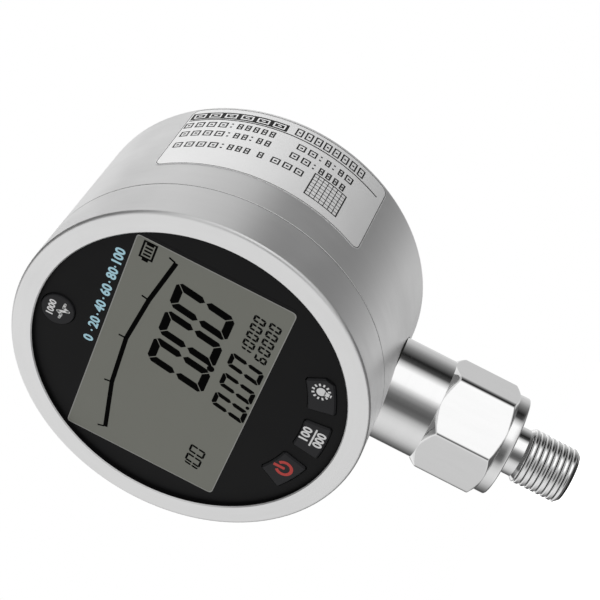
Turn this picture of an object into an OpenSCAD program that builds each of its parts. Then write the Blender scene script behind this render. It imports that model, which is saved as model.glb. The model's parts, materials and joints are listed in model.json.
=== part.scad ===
// Digital pressure gauge: a round steel case on a bottom stem with a G1/4 male thread.
// Millimetres. Z runs up the stem and the dial faces -Y.
// The origin is on the stem's axis, half way along the full-diameter part of the thread.

/* [Case] */
// Outside diameter of the case and its bezel
case_d = 82; // [82:1:96]
// Depth of the case, from the bezel's front to the back
case_depth = 47; // [46:0.5:56]
// Wall of the case behind the bezel
case_wall = 2.6; // [2:0.1:3.2]
// Radius on the rear edge of the case
rear_round = 1.5; // [0.5:0.1:2.2]
// Depth of the bezel's outer wall, from its front to the seam
bezel_depth = 11.5; // [9:0.1:14]
// Wall of the bezel behind its flange
bezel_wall = 2.2; // [1.8:0.1:2.3]
// Width of the bezel's front face, from the opening to the outside
bezel_face_w = 5; // [4:0.1:5.2]
// Thickness of the bezel's front flange
bezel_lip = 1.2; // [0.8:0.1:2]
// Radius on the bezel's outer front edge
bezel_round = 0.8; // [0.5:0.1:2]
// Chamfer on each side of the seam between bezel and case
seam_chamfer = 0.15; // [0.1:0.05:0.5]
// Thickness of the rear cover
cover_t = 2; // [1.6:0.1:2.6]
// Thickness of the rubber ring under the rear cover
rear_gasket_t = 0.6; // [0.4:0.1:1]
// Nominal diameter of the four countersunk cover screws
cover_screw_d = 3; // [2.5:0.5:3]

/* [Dial] */
// Thickness of the moulded dial panel
panel_t = 2; // [1.8:0.1:2.6]
// Thickness of the rubber ring between dial panel and case
bezel_gasket_t = 1; // [0.6:0.1:1.4]
// Distance from the window's upper corners to the edge of the bezel's opening
window_edge = 0.6; // [0.4:0.1:4]
// Height of the window as a share of its width
window_h_share = 0.62; // [0.5:0.01:0.63]
// Height of the window's centre above the dial's centre, as a share of the window's height
window_up_share = 0.064; // [0.03:0.002:0.07]
// Corner radius of the window
window_r = 1.6; // [0.5:0.1:3]
// Thickness of the clear window pane
window_t = 1; // [0.8:0.1:1.5]
// Air gap between the window pane and the display cell
window_gap = 0.1; // [0.05:0.05:0.3]
// Thickness of the display cell, both glasses together
glass_t = 2.2; // [1.8:0.1:2.6]
// Thickness of the carrier between dial panel and circuit board
carrier_t = 5.2; // [5:0.1:6]
// Thickness of the circuit board
board_t = 1.6; // [1:0.1:2]

/* [Keys] */
// Radial length of the three lower keys
key_l = 6.2; // [5:0.1:6.6]
// Distance from the lower keys to the edge of the bezel's opening
key_edge = 2.7; // [2.4:0.1:3.4]
// Half of the angle that a lower key spans
key_half_angle = 8.4; // [7:0.1:8.6]
// Angle between neighbouring lower keys
key_pitch_angle = 23.5; // [23:0.1:26]
// Bevel on the corners of the lower keys
key_corner = 0.5; // [0.2:0.1:1]
// Bevel on the one clipped corner of the lamp key
lamp_corner = 1.8; // [0.5:0.1:2.2]
// Height of the keys above the dial panel
key_proud = 0.5; // [0.45:0.05:0.8]
// Travel of the keys
key_travel = 0.4; // [0.2:0.05:0.45]
// Gap round a key in the dial panel
key_gap = 0.2; // [0.1:0.05:0.3]
// Diameter of the round upper key
peak_d = 7.8; // [6.5:0.1:8]
// Distance from the round key to the edge of the bezel's opening
peak_edge = 0.9; // [0.8:0.1:2]
// Side of a square key switch
switch_w = 6; // [5:0.1:6.2]
// Height of a key switch's body
switch_h = 3.5; // [3:0.1:3.6]
// Diameter of a key switch's plunger
plunger_d = 3.5; // [2.5:0.1:3.6]

/* [Power] */
// Width of a pillar across its flats
pillar_flats = 4.5; // [4:0.1:4.8]
// Nominal diameter of the pillars' studs and of the holder's screws
pillar_screw_d = 2.5; // [2:0.1:2.6]
// Diameter of an AAA cell
cell_d = 10.5; // [10:0.1:10.6]
// Length of an AAA cell with its nub
cell_l = 44.5; // [43:0.1:45]
// Distance between neighbouring cells' axes
cell_pitch = 11.3; // [11.2:0.1:12]
// Thickness of the foam block between the cells and the rear cover
pad_t = 4.5; // [4:0.1:6.5]
// Diameter of the battery leads over their insulation
lead_d = 1.3; // [1:0.1:1.6]

/* [Stem] */
// Distance of the stem's axis in front of the middle of the case's wall
stem_lead = 1.25; // [0:0.25:4]
// Major diameter of the G1/4 thread
thread_d = 13.157; // [12:0.001:14]
// Length of the thread at its full diameter
thread_l = 10.4; // [8:0.1:14]
// Length of the chamfer at the thread's free end
tip_l = 1; // [0.6:0.1:1.6]
// Diameter of the relief above the thread
neck_d = 11.5; // [10.6:0.1:11.8]
// Length of the relief above the thread
neck_l = 3.4; // [2:0.1:5]
// Diameter of the round collar with the sealing face
collar_d = 23.9; // [20:0.1:24]
// Thickness of the round collar
collar_t = 2.7; // [1.5:0.1:4]
// Width of the spanner hexagon across its flats
hex_flats = 24; // [24:0.5:30]
// Length of the spanner hexagon
hex_l = 16; // [10:0.5:20]
// Length of the chamfer at the hexagon's upper end
hex_chamfer_top = 2.2; // [0.5:0.1:3]
// Length of the chamfer at the hexagon's lower end
hex_chamfer_low = 1.3; // [0.4:0.1:2.4]
// Angle by which the hexagon is turned against the dial
hex_turn = -9.5; // [-30:0.5:30]
// Diameter of the sensor housing above the hexagon
barrel_d = 24; // [23:0.1:24]
// Length of the sensor housing that shows below the case
barrel_show = 11; // [11:0.5:16]
// Diameter of the pressure port
port_d = 3; // [2:0.1:4]
// Wall of the sensor housing round the sensor
housing_wall = 2.5; // [2.3:0.1:3.5]
// Height of the pressure sensor
sensor_h = 5; // [4:0.1:5.5]
// Width of the sensor housing's sealing face under the case
seal_w = 4; // [3.5:0.1:5]
// Wall of the inner nut at its flats
nut_wall = 3; // [2:0.1:3.5]
// Thickness of the inner nut
nut_t = 3; // [2:0.1:4]
// Thickness of the seal under the case
stem_seal_t = 0.5; // [0.3:0.1:0.8]

/* [Label] */
// Length of the label round the case
label_w = 50; // [40:1:56]
// Width of the label along the case's depth
label_h = 25.3; // [18:0.1:25.4]
// Thickness of the label
label_t = 0.12; // [0.08:0.02:0.2]
// Distance from the label's rear edge to the back of the case
label_edge = 1.7; // [1.6:0.1:6]
// Angle of the label's centre above the horizontal, on the right-hand side
label_angle = 4.8; // [-10:0.1:20]

/* [Hidden] */
$fn = 96;

// How far a cut runs past the solid that it cuts
overrun = 1;
// Free space round a part that is let into another
fit_play = 0.15;
// Free space between threaded or sliding cylinders, on the radius
thread_play = 0.05;

// Radii of the case, from the outside in
case_r = case_d / 2;
opening_r = case_r - bezel_face_w;
bezel_bore_r = case_r - bezel_wall;
panel_r = bezel_bore_r - 2 * fit_play;
neck_ring_r = bezel_bore_r - thread_play;
neck_ring_wall = 1.4;
neck_bore_r = neck_ring_r - neck_ring_wall;
carrier_r = neck_bore_r - 2 * fit_play;
board_r = carrier_r - 2 * fit_play;
case_bore_r = case_r - case_wall;
// Chamfer on the edge of the bezel's opening
opening_chamfer = 0.25;
// How far the case's front ring keeps its small bore behind the seam
neck_ring_run = 2;

// Display window, its upper corners set in from the bezel's opening
window_w = (opening_r - window_edge) / norm([1 / 2, window_h_share * (1 / 2 + window_up_share)]);
window_h = window_w * window_h_share;
window_up = window_h * window_up_share;

// Depths behind the bezel's front
face_depth = bezel_lip;
panel_back = face_depth + panel_t;
glass_front = face_depth + window_t + window_gap;
glass_back = glass_front + glass_t;
neck_front = panel_back + bezel_gasket_t;
board_front = panel_back + carrier_t;
board_back = board_front + board_t;
stem_depth = (bezel_depth + case_depth) / 2 - stem_lead;
label_depth = case_depth - label_edge - label_h;

// Rear cover and the ledge that it sits on
cover_front = case_depth - cover_t;
ledge_back = cover_front - rear_gasket_t;
ledge_t = 4;
ledge_front = ledge_back - ledge_t;
cover_rim = 4;
cover_r = case_r - cover_rim;
cover_head_d_share = 1.9;
cover_head_edge = 0.6;
ledge_w = cover_screw_d * cover_head_d_share + 2 * cover_head_edge;
ledge_bore_r = cover_r - ledge_w;
cover_screw_r = cover_r - ledge_w / 2;
cover_screw_l = 5;
cover_screw_tip_play = 0.5;
cover_screw_angles = [45, 135, 225, 315];
cover_head_h_share = 0.5;
socket_d_share = 0.75;
socket_depth_share = 0.35;

// Display stack
glass_margin = 0.5;
glass_w = window_w + 2 * glass_margin;
glass_h = window_h + 2 * glass_margin;
zebra_w = 2;
zebra_l_share = 0.85;

// Keys: their ring, their retaining flange and their switches
key_out_r = opening_r - key_edge;
key_in_r = key_out_r - key_l;
key_mid_r = (key_out_r + key_in_r) / 2;
key_front = face_depth - key_proud;
key_crown = 0.35;
key_flange_w = 0.7;
key_flange_t = 0.8;
key_rest_play = 0.05;
key_flange_front = panel_back + key_rest_play;
key_flange_back = key_flange_front + key_flange_t;
peak_r = opening_r - peak_edge - peak_d / 2;
switch_front = board_front - switch_h;
plunger_seat = 0.6;
plunger_end = switch_front + plunger_seat;
switch_bore_end = plunger_end + 2 * key_travel;
switch_leg_w = 0.7;
switch_leg_t = 0.3;
// Directions of the keys on the dial, from the right-hand side towards the top
power_angle = -90 - key_pitch_angle;
unit_angle = -90;
lamp_angle = -90 + key_pitch_angle;
peak_angle = 90;

// Pillars, their bosses on the dial panel and the battery holder
pillar_edge = 3.2;
pillar_r = carrier_r - pillar_edge;
pillar_angles = [45, 135, 217, 323];
boss_d = 5;
boss_l = 2.4;
boss_floor = 1;
pillar_stud_play = 0.1;
pillar_hole_l = 5;
ear_r = 3;
holder_t = 1.6;
cell_play = 0.2;
pad_play = 0.2;
cell_rear = cover_front - pad_t - pad_play;
cell_mid = cell_rear - cell_d / 2;
holder_floor = cell_rear - cell_d - cell_play;
holder_front = holder_floor - holder_t;
holder_wall = 1.2;
spring_l = 4;
contact_t = 0.4;
bay_l = cell_l + spring_l + 2 * contact_t;
bay_h = 2 * cell_pitch + cell_d + 2 * cell_play;
cradle_share = 0.42;
end_wall_share = 0.9;
contact_w_share = 0.72;
holder_head_d = 4.5;
holder_head_h = 1.5;
nub_d = 3.8;
nub_h = 0.8;
cell_edge = 0.4;
spring_wire_d = 0.5;
spring_turns = 4;
spring_steps = 12;
spring_sides = 6;
spring_wide_share = 0.34;
spring_narrow_share = 0.2;
pad_w_share = 0.8;
pad_h_share = 0.9;

// Parts on the back of the circuit board, with their places as shares of its radius
chip_w = 12;
chip_t = 1.5;
chip_place_shares = [-0.3, 0.28];
converter_w = 10;
converter_h = 4;
converter_t = 1.8;
converter_place_shares = [0.3, -0.4];
crystal_w = 10;
crystal_h = 4;
crystal_t = 3.5;
crystal_corner_share = 0.3;
crystal_place_shares = [-0.32, -0.2];
capacitor_d = 5;
capacitor_l = 7;
capacitor_place_shares = [[0.2, 0.62], [-0.2, 0.62]];
header_w = 6;
header_h = 4;
header_t = 5;
header_place_shares = [0.45, 0.2];
lead_gap_share = 0.25;
lead_bend_share = 0.23;
lead_run = 6;
lead_sides = 8;
ribbon_socket_h = 3;
ribbon_socket_t = 2;
ribbon_socket_grow = 2;

// Heights along the stem
thread_r = thread_d / 2;
tip_z = -thread_l / 2 - tip_l;
tip_r_share = 0.86;
runout_l = 0.8;
neck_z = thread_l / 2 + runout_l;
shoulder_z = neck_z + neck_l;
hex_z = shoulder_z + collar_t;
hex_top_z = hex_z + hex_l;
drum_z = hex_top_z + barrel_show;
centre_h = drum_z + case_r;
barrel_r = barrel_d / 2;
sensor_d = barrel_d - 2 * housing_wall;
spigot_d = barrel_d - 2 * seal_w;
nut_flats = spigot_d + 2 * nut_wall;
// Room round the nut for a socket
nut_room = 0.5;
// How far the hexagon's chamfers stay outside its flats
hex_edge_play = 0.12;
// The seat is a flat pocket, just inside the case's surface at the housing's sides
seat_inset = 0.1;
seat_z = centre_h - sqrt(pow(case_r, 2) - pow(barrel_r, 2)) + seat_inset;
seat_floor = 4.6;
pad_z = seat_z + seat_floor;
pad_edge = 1.6;
nut_top_z = pad_z + nut_t;
spigot_over = 1;
spigot_top_z = nut_top_z + spigot_over;
barrel_top_z = seat_z - stem_seal_t;
cable_bore_d = 8;
collar_round = 0.4;

// Sensor in its housing
plug_l = 2;
ring_d = 1.3;
ring_mid_share = 0.36;
sensor_z = hex_top_z + plug_l + ring_d;
sensor_top_z = sensor_z + sensor_h;
sensor_rim = 1.6;
sensor_dish = 0.6;
port_mouth_share = 2.4;
port_mouth_l = 0.8;
pin_d = 0.6;
pin_h = 2.4;
pin_root = 1.2;
pin_circle_share = 0.26;
pin_count = 5;
ribbon_w = 5;
ribbon_t = 0.3;
ribbon_bend_r = 3;
ribbon_over = 3;

// Label
label_half_angle = label_w / case_r / 2 * 180 / PI;
label_corner = 2;

// Points on an arc about a centre, from one angle to another
function arc(centre, r, from, to, steps = 8) = [for (i = [0:steps])
    let (a = from + (to - from) * i / steps) centre + r * [cos(a), sin(a)]];

// Puts children in the case's own frame: x to the right, y up, z out of the dial from the bezel's front
module in_case() translate([0, -stem_depth, centre_h]) rotate([90, 0, 0]) children();

// Makes a flat piece whose front lies at a depth behind the bezel's front
module slab(depth, thick) translate([0, 0, -depth - thick]) linear_extrude(thick) children();

// Turns an outline of radius and depth about the case's axis
module turned() mirror([0, 0, 1]) rotate_extrude() children();

// Makes a plain ring about the case's axis
module ring(inner, outer, depth, thick) turned() translate([inner, depth])
    square([outer - inner, thick]);

// Moves children to a radius and an angle on the dial
module at_polar(r, angle) rotate([0, 0, angle]) translate([r, 0, 0]) children();

// Makes a rod along the depth, between two depths
module rod(d, from, to) translate([0, 0, -to]) cylinder(d = d, h = to - from);

// Makes a hexagon rod along the depth
module hex_rod(flats, from, to) translate([0, 0, -to])
    cylinder(d = flats / cos(30), h = to - from, $fn = 6);

// Makes a rectangle with round corners about the origin
module round_box(w, h, r) offset(r = r, $fn = 32) square([w - 2 * r, h - 2 * r], center = true);

// Point on one side of a lower key that points right, a margin outside the key
function side_point(along, margin, side) = along * [cos(key_half_angle), side * sin(key_half_angle)]
    + margin * [-sin(key_half_angle), side * cos(key_half_angle)];

// Point past the arc, on the line that bevels a corner
function bevel_point(along, margin, bevel, side, outward) = side_point(along, margin, side)
    + (bevel + overrun) * [outward * cos(key_half_angle) + sin(key_half_angle),
        side * (outward * sin(key_half_angle) - cos(key_half_angle))];

// Sides and bevelled corners of a lower key that points right, grown by a margin
module key_wedge(margin, clipped) {
    inner = key_in_r - margin + key_corner;
    outer = [key_out_r + margin - key_corner, key_out_r + margin - clipped];
    polygon([
        side_point(inner, margin, -1), side_point(outer[0], margin, -1),
        bevel_point(outer[0], margin, key_corner, -1, 1), bevel_point(outer[1], margin, clipped, 1, 1),
        side_point(outer[1], margin, 1), side_point(inner, margin, 1),
        bevel_point(inner, margin, key_corner, 1, -1), bevel_point(inner, margin, key_corner, -1, -1)]);
}

// Outline of a lower key that points right, grown by a margin
module key_outline(margin, clipped) intersection() {
    difference() {
        circle(key_out_r + margin);
        circle(key_in_r - margin);
    }
    key_wedge(margin, clipped);
}

// Outline of every key, grown by a margin
module all_key_outlines(margin) {
    rotate([0, 0, power_angle]) key_outline(margin, key_corner);
    rotate([0, 0, unit_angle]) key_outline(margin, key_corner);
    rotate([0, 0, lamp_angle]) key_outline(margin, lamp_corner);
    rotate([0, 0, peak_angle]) translate([peak_r, 0]) circle(d = peak_d + 2 * margin);
}

// Repeats children at each pillar
module at_pillars() for (angle = pillar_angles) at_polar(pillar_r, angle) children();

// Repeats children at each cover screw
module at_cover_screws() for (angle = cover_screw_angles) at_polar(cover_screw_r, angle) children();

// Repeats children at each cell's axis, with the cells' direction along x
module at_cells() for (i = [-1:1]) translate([0, i * cell_pitch, -cell_mid])
    rotate([0, 0, i == 0 ? 180 : 0]) children();

// Sweeps a round wire along a flat path of points in x and depth
module wire(path, d) {
    last = len(path) - 1;
    rings = [for (i = [0:last]) let (
        step = path[min(i + 1, last)] - path[max(i - 1, 0)],
        side = [step[1], -step[0]] / norm(step))
        for (k = [0:lead_sides - 1]) let (b = 360 * k / lead_sides)
            [path[i][0] + d / 2 * cos(b) * side[0], d / 2 * sin(b),
             -path[i][1] - d / 2 * cos(b) * side[1]]];
    polyhedron(rings, tube_faces(last, lead_sides));
}

// Faces of a closed tube of rings, the first ring's points first
function tube_faces(last, n) = concat(
    [[for (k = [0:n - 1]) k]],
    [for (i = [0:last - 1]) for (k = [0:n - 1])
        [i * n + k, i * n + n + k, i * n + (k + 1) % n]],
    [for (i = [0:last - 1]) for (k = [0:n - 1])
        [i * n + (k + 1) % n, i * n + n + k, i * n + n + (k + 1) % n]],
    [[for (k = [0:n - 1]) last * n + n - 1 - k]]);

// The screwed steel ring that holds the dial panel in the case
module front_bezel() color("silver") in_case() turned() polygon(concat(
    [[opening_r, bezel_lip], [opening_r, opening_chamfer], [opening_r + opening_chamfer, 0]],
    arc([case_r - bezel_round, bezel_round], bezel_round, -90, 0),
    [[case_r, bezel_depth - seam_chamfer], [case_r - seam_chamfer, bezel_depth],
     [bezel_bore_r, bezel_depth], [bezel_bore_r, bezel_lip]]));

// The rubber ring between the dial panel and the case's front ring
module bezel_gasket() color("dimgray") in_case()
    ring(neck_bore_r, panel_r, panel_back, bezel_gasket_t);

// The black moulded dial with its window, its key holes and four screw bosses behind
module dial_panel() color([0.1, 0.1, 0.11]) in_case() difference() {
    union() {
        slab(face_depth, panel_t) difference() {
            circle(panel_r);
            all_key_outlines(key_gap);
        }
        at_pillars() rod(boss_d, panel_back - panel_t / 2, panel_back + boss_l);
    }
    translate([0, window_up, 0]) {
        slab(0, panel_back) round_box(window_w, window_h, window_r);
        slab(glass_front, panel_t) square([glass_w, glass_h] + 2 * fit_play * [1, 1], center = true);
    }
    at_pillars() rod(pillar_screw_d + 2 * thread_play, face_depth + boss_floor, board_front);
}

// The clear pane in the window
module display_window() color([0.85, 0.9, 0.9, 0.3]) in_case() translate([0, window_up, 0])
    slab(face_depth, window_t)
        round_box(window_w - 2 * fit_play, window_h - 2 * fit_play, window_r - fit_play);

// The liquid crystal cell behind the pane
module display_glass() color([0.42, 0.43, 0.39]) in_case() translate([0, window_up, 0])
    slab(glass_front, glass_t) square([glass_w, glass_h], center = true);

// The light guide behind the cell, short of the contact strip at the lower edge
module backlight() color("white") in_case() translate([0, window_up + zebra_w, 0])
    slab(glass_back, board_front - glass_back)
        square([glass_w - 2 * fit_play, glass_h - 2 * zebra_w - 2 * fit_play], center = true);

// The rubber contact strip between the cell and the circuit board
module zebra_strip() color("gray") in_case() translate([0, window_up - glass_h / 2 + zebra_w / 2, 0])
    slab(glass_back, board_front - glass_back)
        square([glass_w * zebra_l_share, zebra_w], center = true);

// The moulded carrier that locates the cell, the keys and the circuit board
module display_carrier() color("lightgray") in_case() difference() {
    slab(panel_back, carrier_t) difference() {
        circle(carrier_r);
        translate([0, window_up]) square([glass_w, glass_h] + 2 * fit_play * [1, 1], center = true);
        all_key_outlines(key_flange_w + 2 * fit_play);
    }
    at_pillars() {
        rod(boss_d + 2 * fit_play, 0, panel_back + boss_l);
        rod(pillar_screw_d + 2 * pillar_stud_play, 0, board_back);
    }
}

// A lower key: bevelled crown, shank through the dial panel and retaining flange behind it
module lower_key(angle, clipped) color([0.17, 0.17, 0.18]) in_case() rotate([0, 0, angle]) {
    difference() {
        intersection() {
            turned() polygon([
                [key_in_r + key_crown, key_front], [key_out_r - key_crown, key_front],
                [key_out_r, key_front + key_crown], [key_out_r, key_flange_front],
                [key_in_r, key_flange_front], [key_in_r, key_front + key_crown]]);
            slab(key_front, key_flange_front - key_front) key_wedge(0, clipped);
        }
        for (side = [0, 1]) mirror([0, side, 0]) rotate([0, 0, key_half_angle])
            translate([key_in_r - overrun, 0, -key_front - key_crown]) rotate([45, 0, 0])
                translate([0, 0, -overrun]) cube([key_l + 2 * overrun, overrun, 2 * overrun]);
    }
    slab(key_flange_front, key_flange_t) key_outline(key_flange_w, clipped);
}
module power_key() lower_key(power_angle, key_corner);
module unit_key() lower_key(unit_angle, key_corner);
module lamp_key() lower_key(lamp_angle, lamp_corner);

// The round upper key with its domed crown
module peak_key() color([0.17, 0.17, 0.18]) in_case() at_polar(peak_r, peak_angle) turned()
    polygon(concat(
        [[0, key_flange_back], [0, key_front]],
        arc([peak_d / 2 - key_crown, key_front + key_crown], key_crown, -90, 0),
        [[peak_d / 2, key_flange_front], [peak_d / 2 + key_flange_w, key_flange_front],
         [peak_d / 2 + key_flange_w, key_flange_back]]));

// The plunger of a key switch, which its key pushes in
module plunger(r, angle) color("black") in_case() at_polar(r, angle)
    rod(plunger_d, key_flange_back, plunger_end);
module power_plunger() plunger(key_mid_r, power_angle);
module unit_plunger() plunger(key_mid_r, unit_angle);
module lamp_plunger() plunger(key_mid_r, lamp_angle);
module peak_plunger() plunger(peak_r, peak_angle);

// One key switch with its plunger's bore and its four legs
module key_switch() difference() {
    union() {
        slab(switch_front, switch_h) square(switch_w, center = true);
        for (x = [-1, 1], y = [-1, 1])
            translate([x * (switch_w + switch_leg_t) / 2, y * switch_w / 4, 0])
                slab(board_front - switch_h / 2, switch_h / 2)
                    square([switch_leg_t, switch_leg_w], center = true);
    }
    rod(plunger_d + 2 * thread_play, 0, switch_bore_end);
}

// The four key switches on the circuit board
module key_switches() color("dimgray") in_case() {
    for (angle = [power_angle, unit_angle, lamp_angle]) at_polar(key_mid_r, angle) key_switch();
    at_polar(peak_r, peak_angle) key_switch();
}

// The circuit board behind the carrier
module circuit_board() color("darkgreen") in_case() difference() {
    slab(board_front, board_t) circle(board_r);
    at_pillars() rod(pillar_screw_d + 2 * pillar_stud_play, 0, holder_front);
}

// Moves children to a place on the circuit board
module on_board(shares) translate([shares[0] * board_r, shares[1] * board_r, 0]) children();

// Height of the ribbon where it reaches the circuit board, in the case's frame
ribbon_y = spigot_top_z + ribbon_over + ribbon_bend_r - centre_h;

// The parts on the circuit board's back, each flat on the board
module processor() color([0.15, 0.15, 0.16]) in_case() on_board(chip_place_shares)
    slab(board_back, chip_t) square(chip_w, center = true);
module converter() color([0.15, 0.15, 0.16]) in_case() on_board(converter_place_shares)
    slab(board_back, converter_t) square([converter_w, converter_h], center = true);
module crystal() color("silver") in_case() on_board(crystal_place_shares)
    slab(board_back, crystal_t) round_box(crystal_w, crystal_h, crystal_h * crystal_corner_share);
module capacitors() color("midnightblue") in_case() for (place = capacitor_place_shares)
    on_board(place) rod(capacitor_d, board_back, board_back + capacitor_l);
module battery_socket() color("ivory") in_case() on_board(header_place_shares)
    slab(board_back, header_t) square([header_w, header_h], center = true);
module ribbon_socket() color("ivory") in_case() translate([0, ribbon_y, 0])
    slab(board_back, ribbon_socket_t) square([ribbon_w + ribbon_socket_grow, ribbon_socket_h],
        center = true);

// The hexagon pillars behind the circuit board, each with a stud into the dial panel
module pillars() color("goldenrod") in_case() at_pillars() difference() {
    union() {
        hex_rod(pillar_flats, board_back, holder_front);
        rod(pillar_screw_d, panel_back, board_back + board_t);
    }
    rod(pillar_screw_d + 2 * thread_play, holder_front - pillar_hole_l, holder_front + overrun);
}

// The moulded holder of the three cells, with its ears on the pillars
module battery_holder() color([0.13, 0.13, 0.14]) in_case() difference() {
    union() {
        slab(holder_front, holder_t) hull() at_pillars() circle(ear_r, $fn = 32);
        slab(holder_floor, cell_d * cradle_share)
            square([bay_l, bay_h] + 2 * holder_wall * [1, 1], center = true);
        for (x = [-1, 1]) translate([x * (bay_l + holder_wall) / 2, 0, 0])
            slab(holder_floor, cell_d * end_wall_share)
                square([holder_wall, bay_h + 2 * holder_wall], center = true);
    }
    at_cells() rotate([0, 90, 0])
        cylinder(d = cell_d + 2 * cell_play, h = bay_l, center = true);
    at_pillars() {
        rod(pillar_screw_d + 2 * pillar_stud_play, 0, case_depth);
        rod(holder_head_d + 2 * fit_play, holder_floor, case_depth);
    }
}

// The screws that hold the battery holder on the pillars
module holder_screws() color("silver") in_case() at_pillars() {
    rod(holder_head_d, holder_floor, holder_floor + holder_head_h);
    rod(pillar_screw_d, holder_floor - holder_t - pillar_hole_l + boss_floor, holder_floor + overrun);
}

// The three AAA cells, the middle one the other way round
module aaa_cells() color("steelblue") in_case() at_cells() translate([-cell_l / 2 + spring_l / 2, 0, 0])
    rotate([0, 90, 0]) rotate_extrude() polygon([
        [0, 0], [cell_d / 2 - cell_edge, 0], [cell_d / 2, cell_edge],
        [cell_d / 2, cell_l - nub_h - cell_edge], [cell_d / 2 - cell_edge, cell_l - nub_h],
        [nub_d / 2, cell_l - nub_h], [nub_d / 2, cell_l], [0, cell_l]]);

// The contact plates at both ends of each cell
module cell_contacts() color("silver") in_case() at_cells() for (x = [-1, 1])
    translate([x * (bay_l - contact_t) / 2, 0, 0])
        cube([contact_t, cell_d * contact_w_share, cell_d * contact_w_share], center = true);

// The tapered coil springs at the cells' flat ends
module cell_springs() color("silver") in_case() at_cells()
    translate([-bay_l / 2 + contact_t + spring_wire_d / 2, 0, 0]) {
        count = spring_turns * spring_steps;
        rings = [for (i = [0:count]) let (
            a = 360 * i / spring_steps,
            r = cell_d * (spring_wide_share + (spring_narrow_share - spring_wide_share) * i / count),
            x = (spring_l - spring_wire_d) * i / count)
            for (k = [0:spring_sides - 1]) let (b = 360 * k / spring_sides,
                wire_r = r + spring_wire_d / 2 * cos(b))
                [x + spring_wire_d / 2 * sin(b), wire_r * cos(a), wire_r * sin(a)]];
        polyhedron(rings, tube_faces(count, spring_sides));
    }

// A lead from the battery holder's front to the socket on the circuit board
module battery_lead(side) in_case()
    translate([0, header_place_shares[1] * board_r + side * header_h * lead_gap_share, 0]) {
        from_x = header_place_shares[0] * board_r + lead_run;
        to_x = header_place_shares[0] * board_r;
        mid = (board_back + header_t + holder_front) / 2;
        bend_r = (holder_front - board_back - header_t) * lead_bend_share;
        wire(concat(
            [[from_x, holder_front]],
            arc([from_x - bend_r, mid + bend_r], bend_r, 0, -90),
            arc([to_x + bend_r, mid - bend_r], bend_r, 90, 180),
            [[to_x, board_back + header_t]]), lead_d);
    }
module red_lead() color("red") battery_lead(1);
module black_lead() color("black") battery_lead(-1);

// The foam block inside the rear cover that keeps the cells in their holder
module cell_pad() color("dimgray") in_case() slab(cover_front - pad_t, pad_t)
    square([cell_l * pad_w_share, bay_h * pad_h_share], center = true);

// The steel case: front ring for the bezel, wall, rear ledge and the pad for the stem
module case_shell() color("silver") in_case() difference() {
    union() {
        turned() polygon(concat(
            [[neck_bore_r, neck_front], [neck_ring_r, neck_front], [neck_ring_r, bezel_depth],
             [case_r - seam_chamfer, bezel_depth], [case_r, bezel_depth + seam_chamfer]],
            arc([case_r - rear_round, case_depth - rear_round], rear_round, 0, 90),
            [[cover_r, case_depth], [cover_r, ledge_back], [ledge_bore_r, ledge_back],
             [ledge_bore_r, ledge_front], [case_bore_r, ledge_front],
             [case_bore_r, bezel_depth + neck_ring_run], [neck_bore_r, bezel_depth + neck_ring_run]]));
        intersection() {
            slab(bezel_depth + neck_ring_run, ledge_back - bezel_depth - neck_ring_run)
                circle(case_r - case_wall / 2);
            stem_rod(barrel_r + pad_edge, drum_z, pad_z);
        }
    }
    stem_rod(barrel_r + fit_play, drum_z - overrun, seat_z);
    stem_rod(spigot_d / 2 + thread_play, drum_z - overrun, pad_z + overrun);
    stem_rod(nut_flats / 2 / cos(30) + nut_room, pad_z, pad_z + 2 * nut_t);
    at_cover_screws() rod(cover_screw_d + 2 * thread_play,
        case_depth - cover_screw_l - cover_screw_tip_play, case_depth);
}

// Makes a rod up the stem's axis inside the case's frame, between two heights of the stem
module stem_rod(r, from, to) translate([0, from - centre_h, -stem_depth]) rotate([-90, 0, 0])
    cylinder(r = r, h = to - from);

// The rubber ring under the rear cover
module rear_gasket() color("dimgray") in_case() difference() {
    ring(ledge_bore_r, cover_r - fit_play, ledge_back, rear_gasket_t);
    at_cover_screws() rod(cover_screw_d + 2 * fit_play, 0, case_depth);
}

// Outline of a countersunk screw, as radius and depth from the back of the case
module screw_outline(d, l, grow) polygon([
    [0, case_depth], [d * cover_head_d_share / 2 + grow, case_depth],
    [d / 2 + grow, case_depth - d * cover_head_h_share], [d / 2 + grow, case_depth - l],
    [0, case_depth - l]]);

// The flat steel rear cover
module rear_cover() color("silver") in_case() difference() {
    slab(cover_front, cover_t) circle(cover_r - fit_play);
    at_cover_screws() turned() screw_outline(cover_screw_d, cover_screw_l, fit_play);
}

// The countersunk screws of the rear cover
module cover_screws() color("gray") in_case() at_cover_screws() difference() {
    turned() screw_outline(cover_screw_d, cover_screw_l, 0);
    hex_rod(cover_screw_d * socket_d_share, case_depth - cover_screw_d * socket_depth_share,
        case_depth + overrun);
}

// The black seal between the sensor housing and its seat in the case
module stem_seal() color([0.08, 0.08, 0.08]) translate([0, 0, barrel_top_z]) difference() {
    cylinder(r = barrel_r, h = stem_seal_t);
    translate([0, 0, -overrun]) cylinder(d = spigot_d + 2 * thread_play, h = stem_seal_t + 2 * overrun);
}

// The thin hexagon nut inside the case
module stem_nut() color("silver") translate([0, 0, pad_z]) difference() {
    cylinder(d = nut_flats / cos(30), h = nut_t, $fn = 6);
    translate([0, 0, -overrun]) cylinder(d = spigot_d + 2 * thread_play, h = nut_t + 2 * overrun);
}

// The round housing above the hexagon, with the sensor's bay and its threaded end
module sensor_housing() color("lightgray") difference() {
    rotate_extrude() polygon([
        [0, hex_top_z], [barrel_r, hex_top_z], [barrel_r, barrel_top_z],
        [spigot_d / 2, barrel_top_z], [spigot_d / 2, spigot_top_z], [0, spigot_top_z]]);
    translate([0, 0, hex_top_z - overrun])
        cylinder(d = sensor_d + 2 * thread_play, h = sensor_top_z - hex_top_z + overrun);
    translate([0, 0, hex_top_z]) cylinder(d = cable_bore_d, h = spigot_top_z);
}

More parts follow.
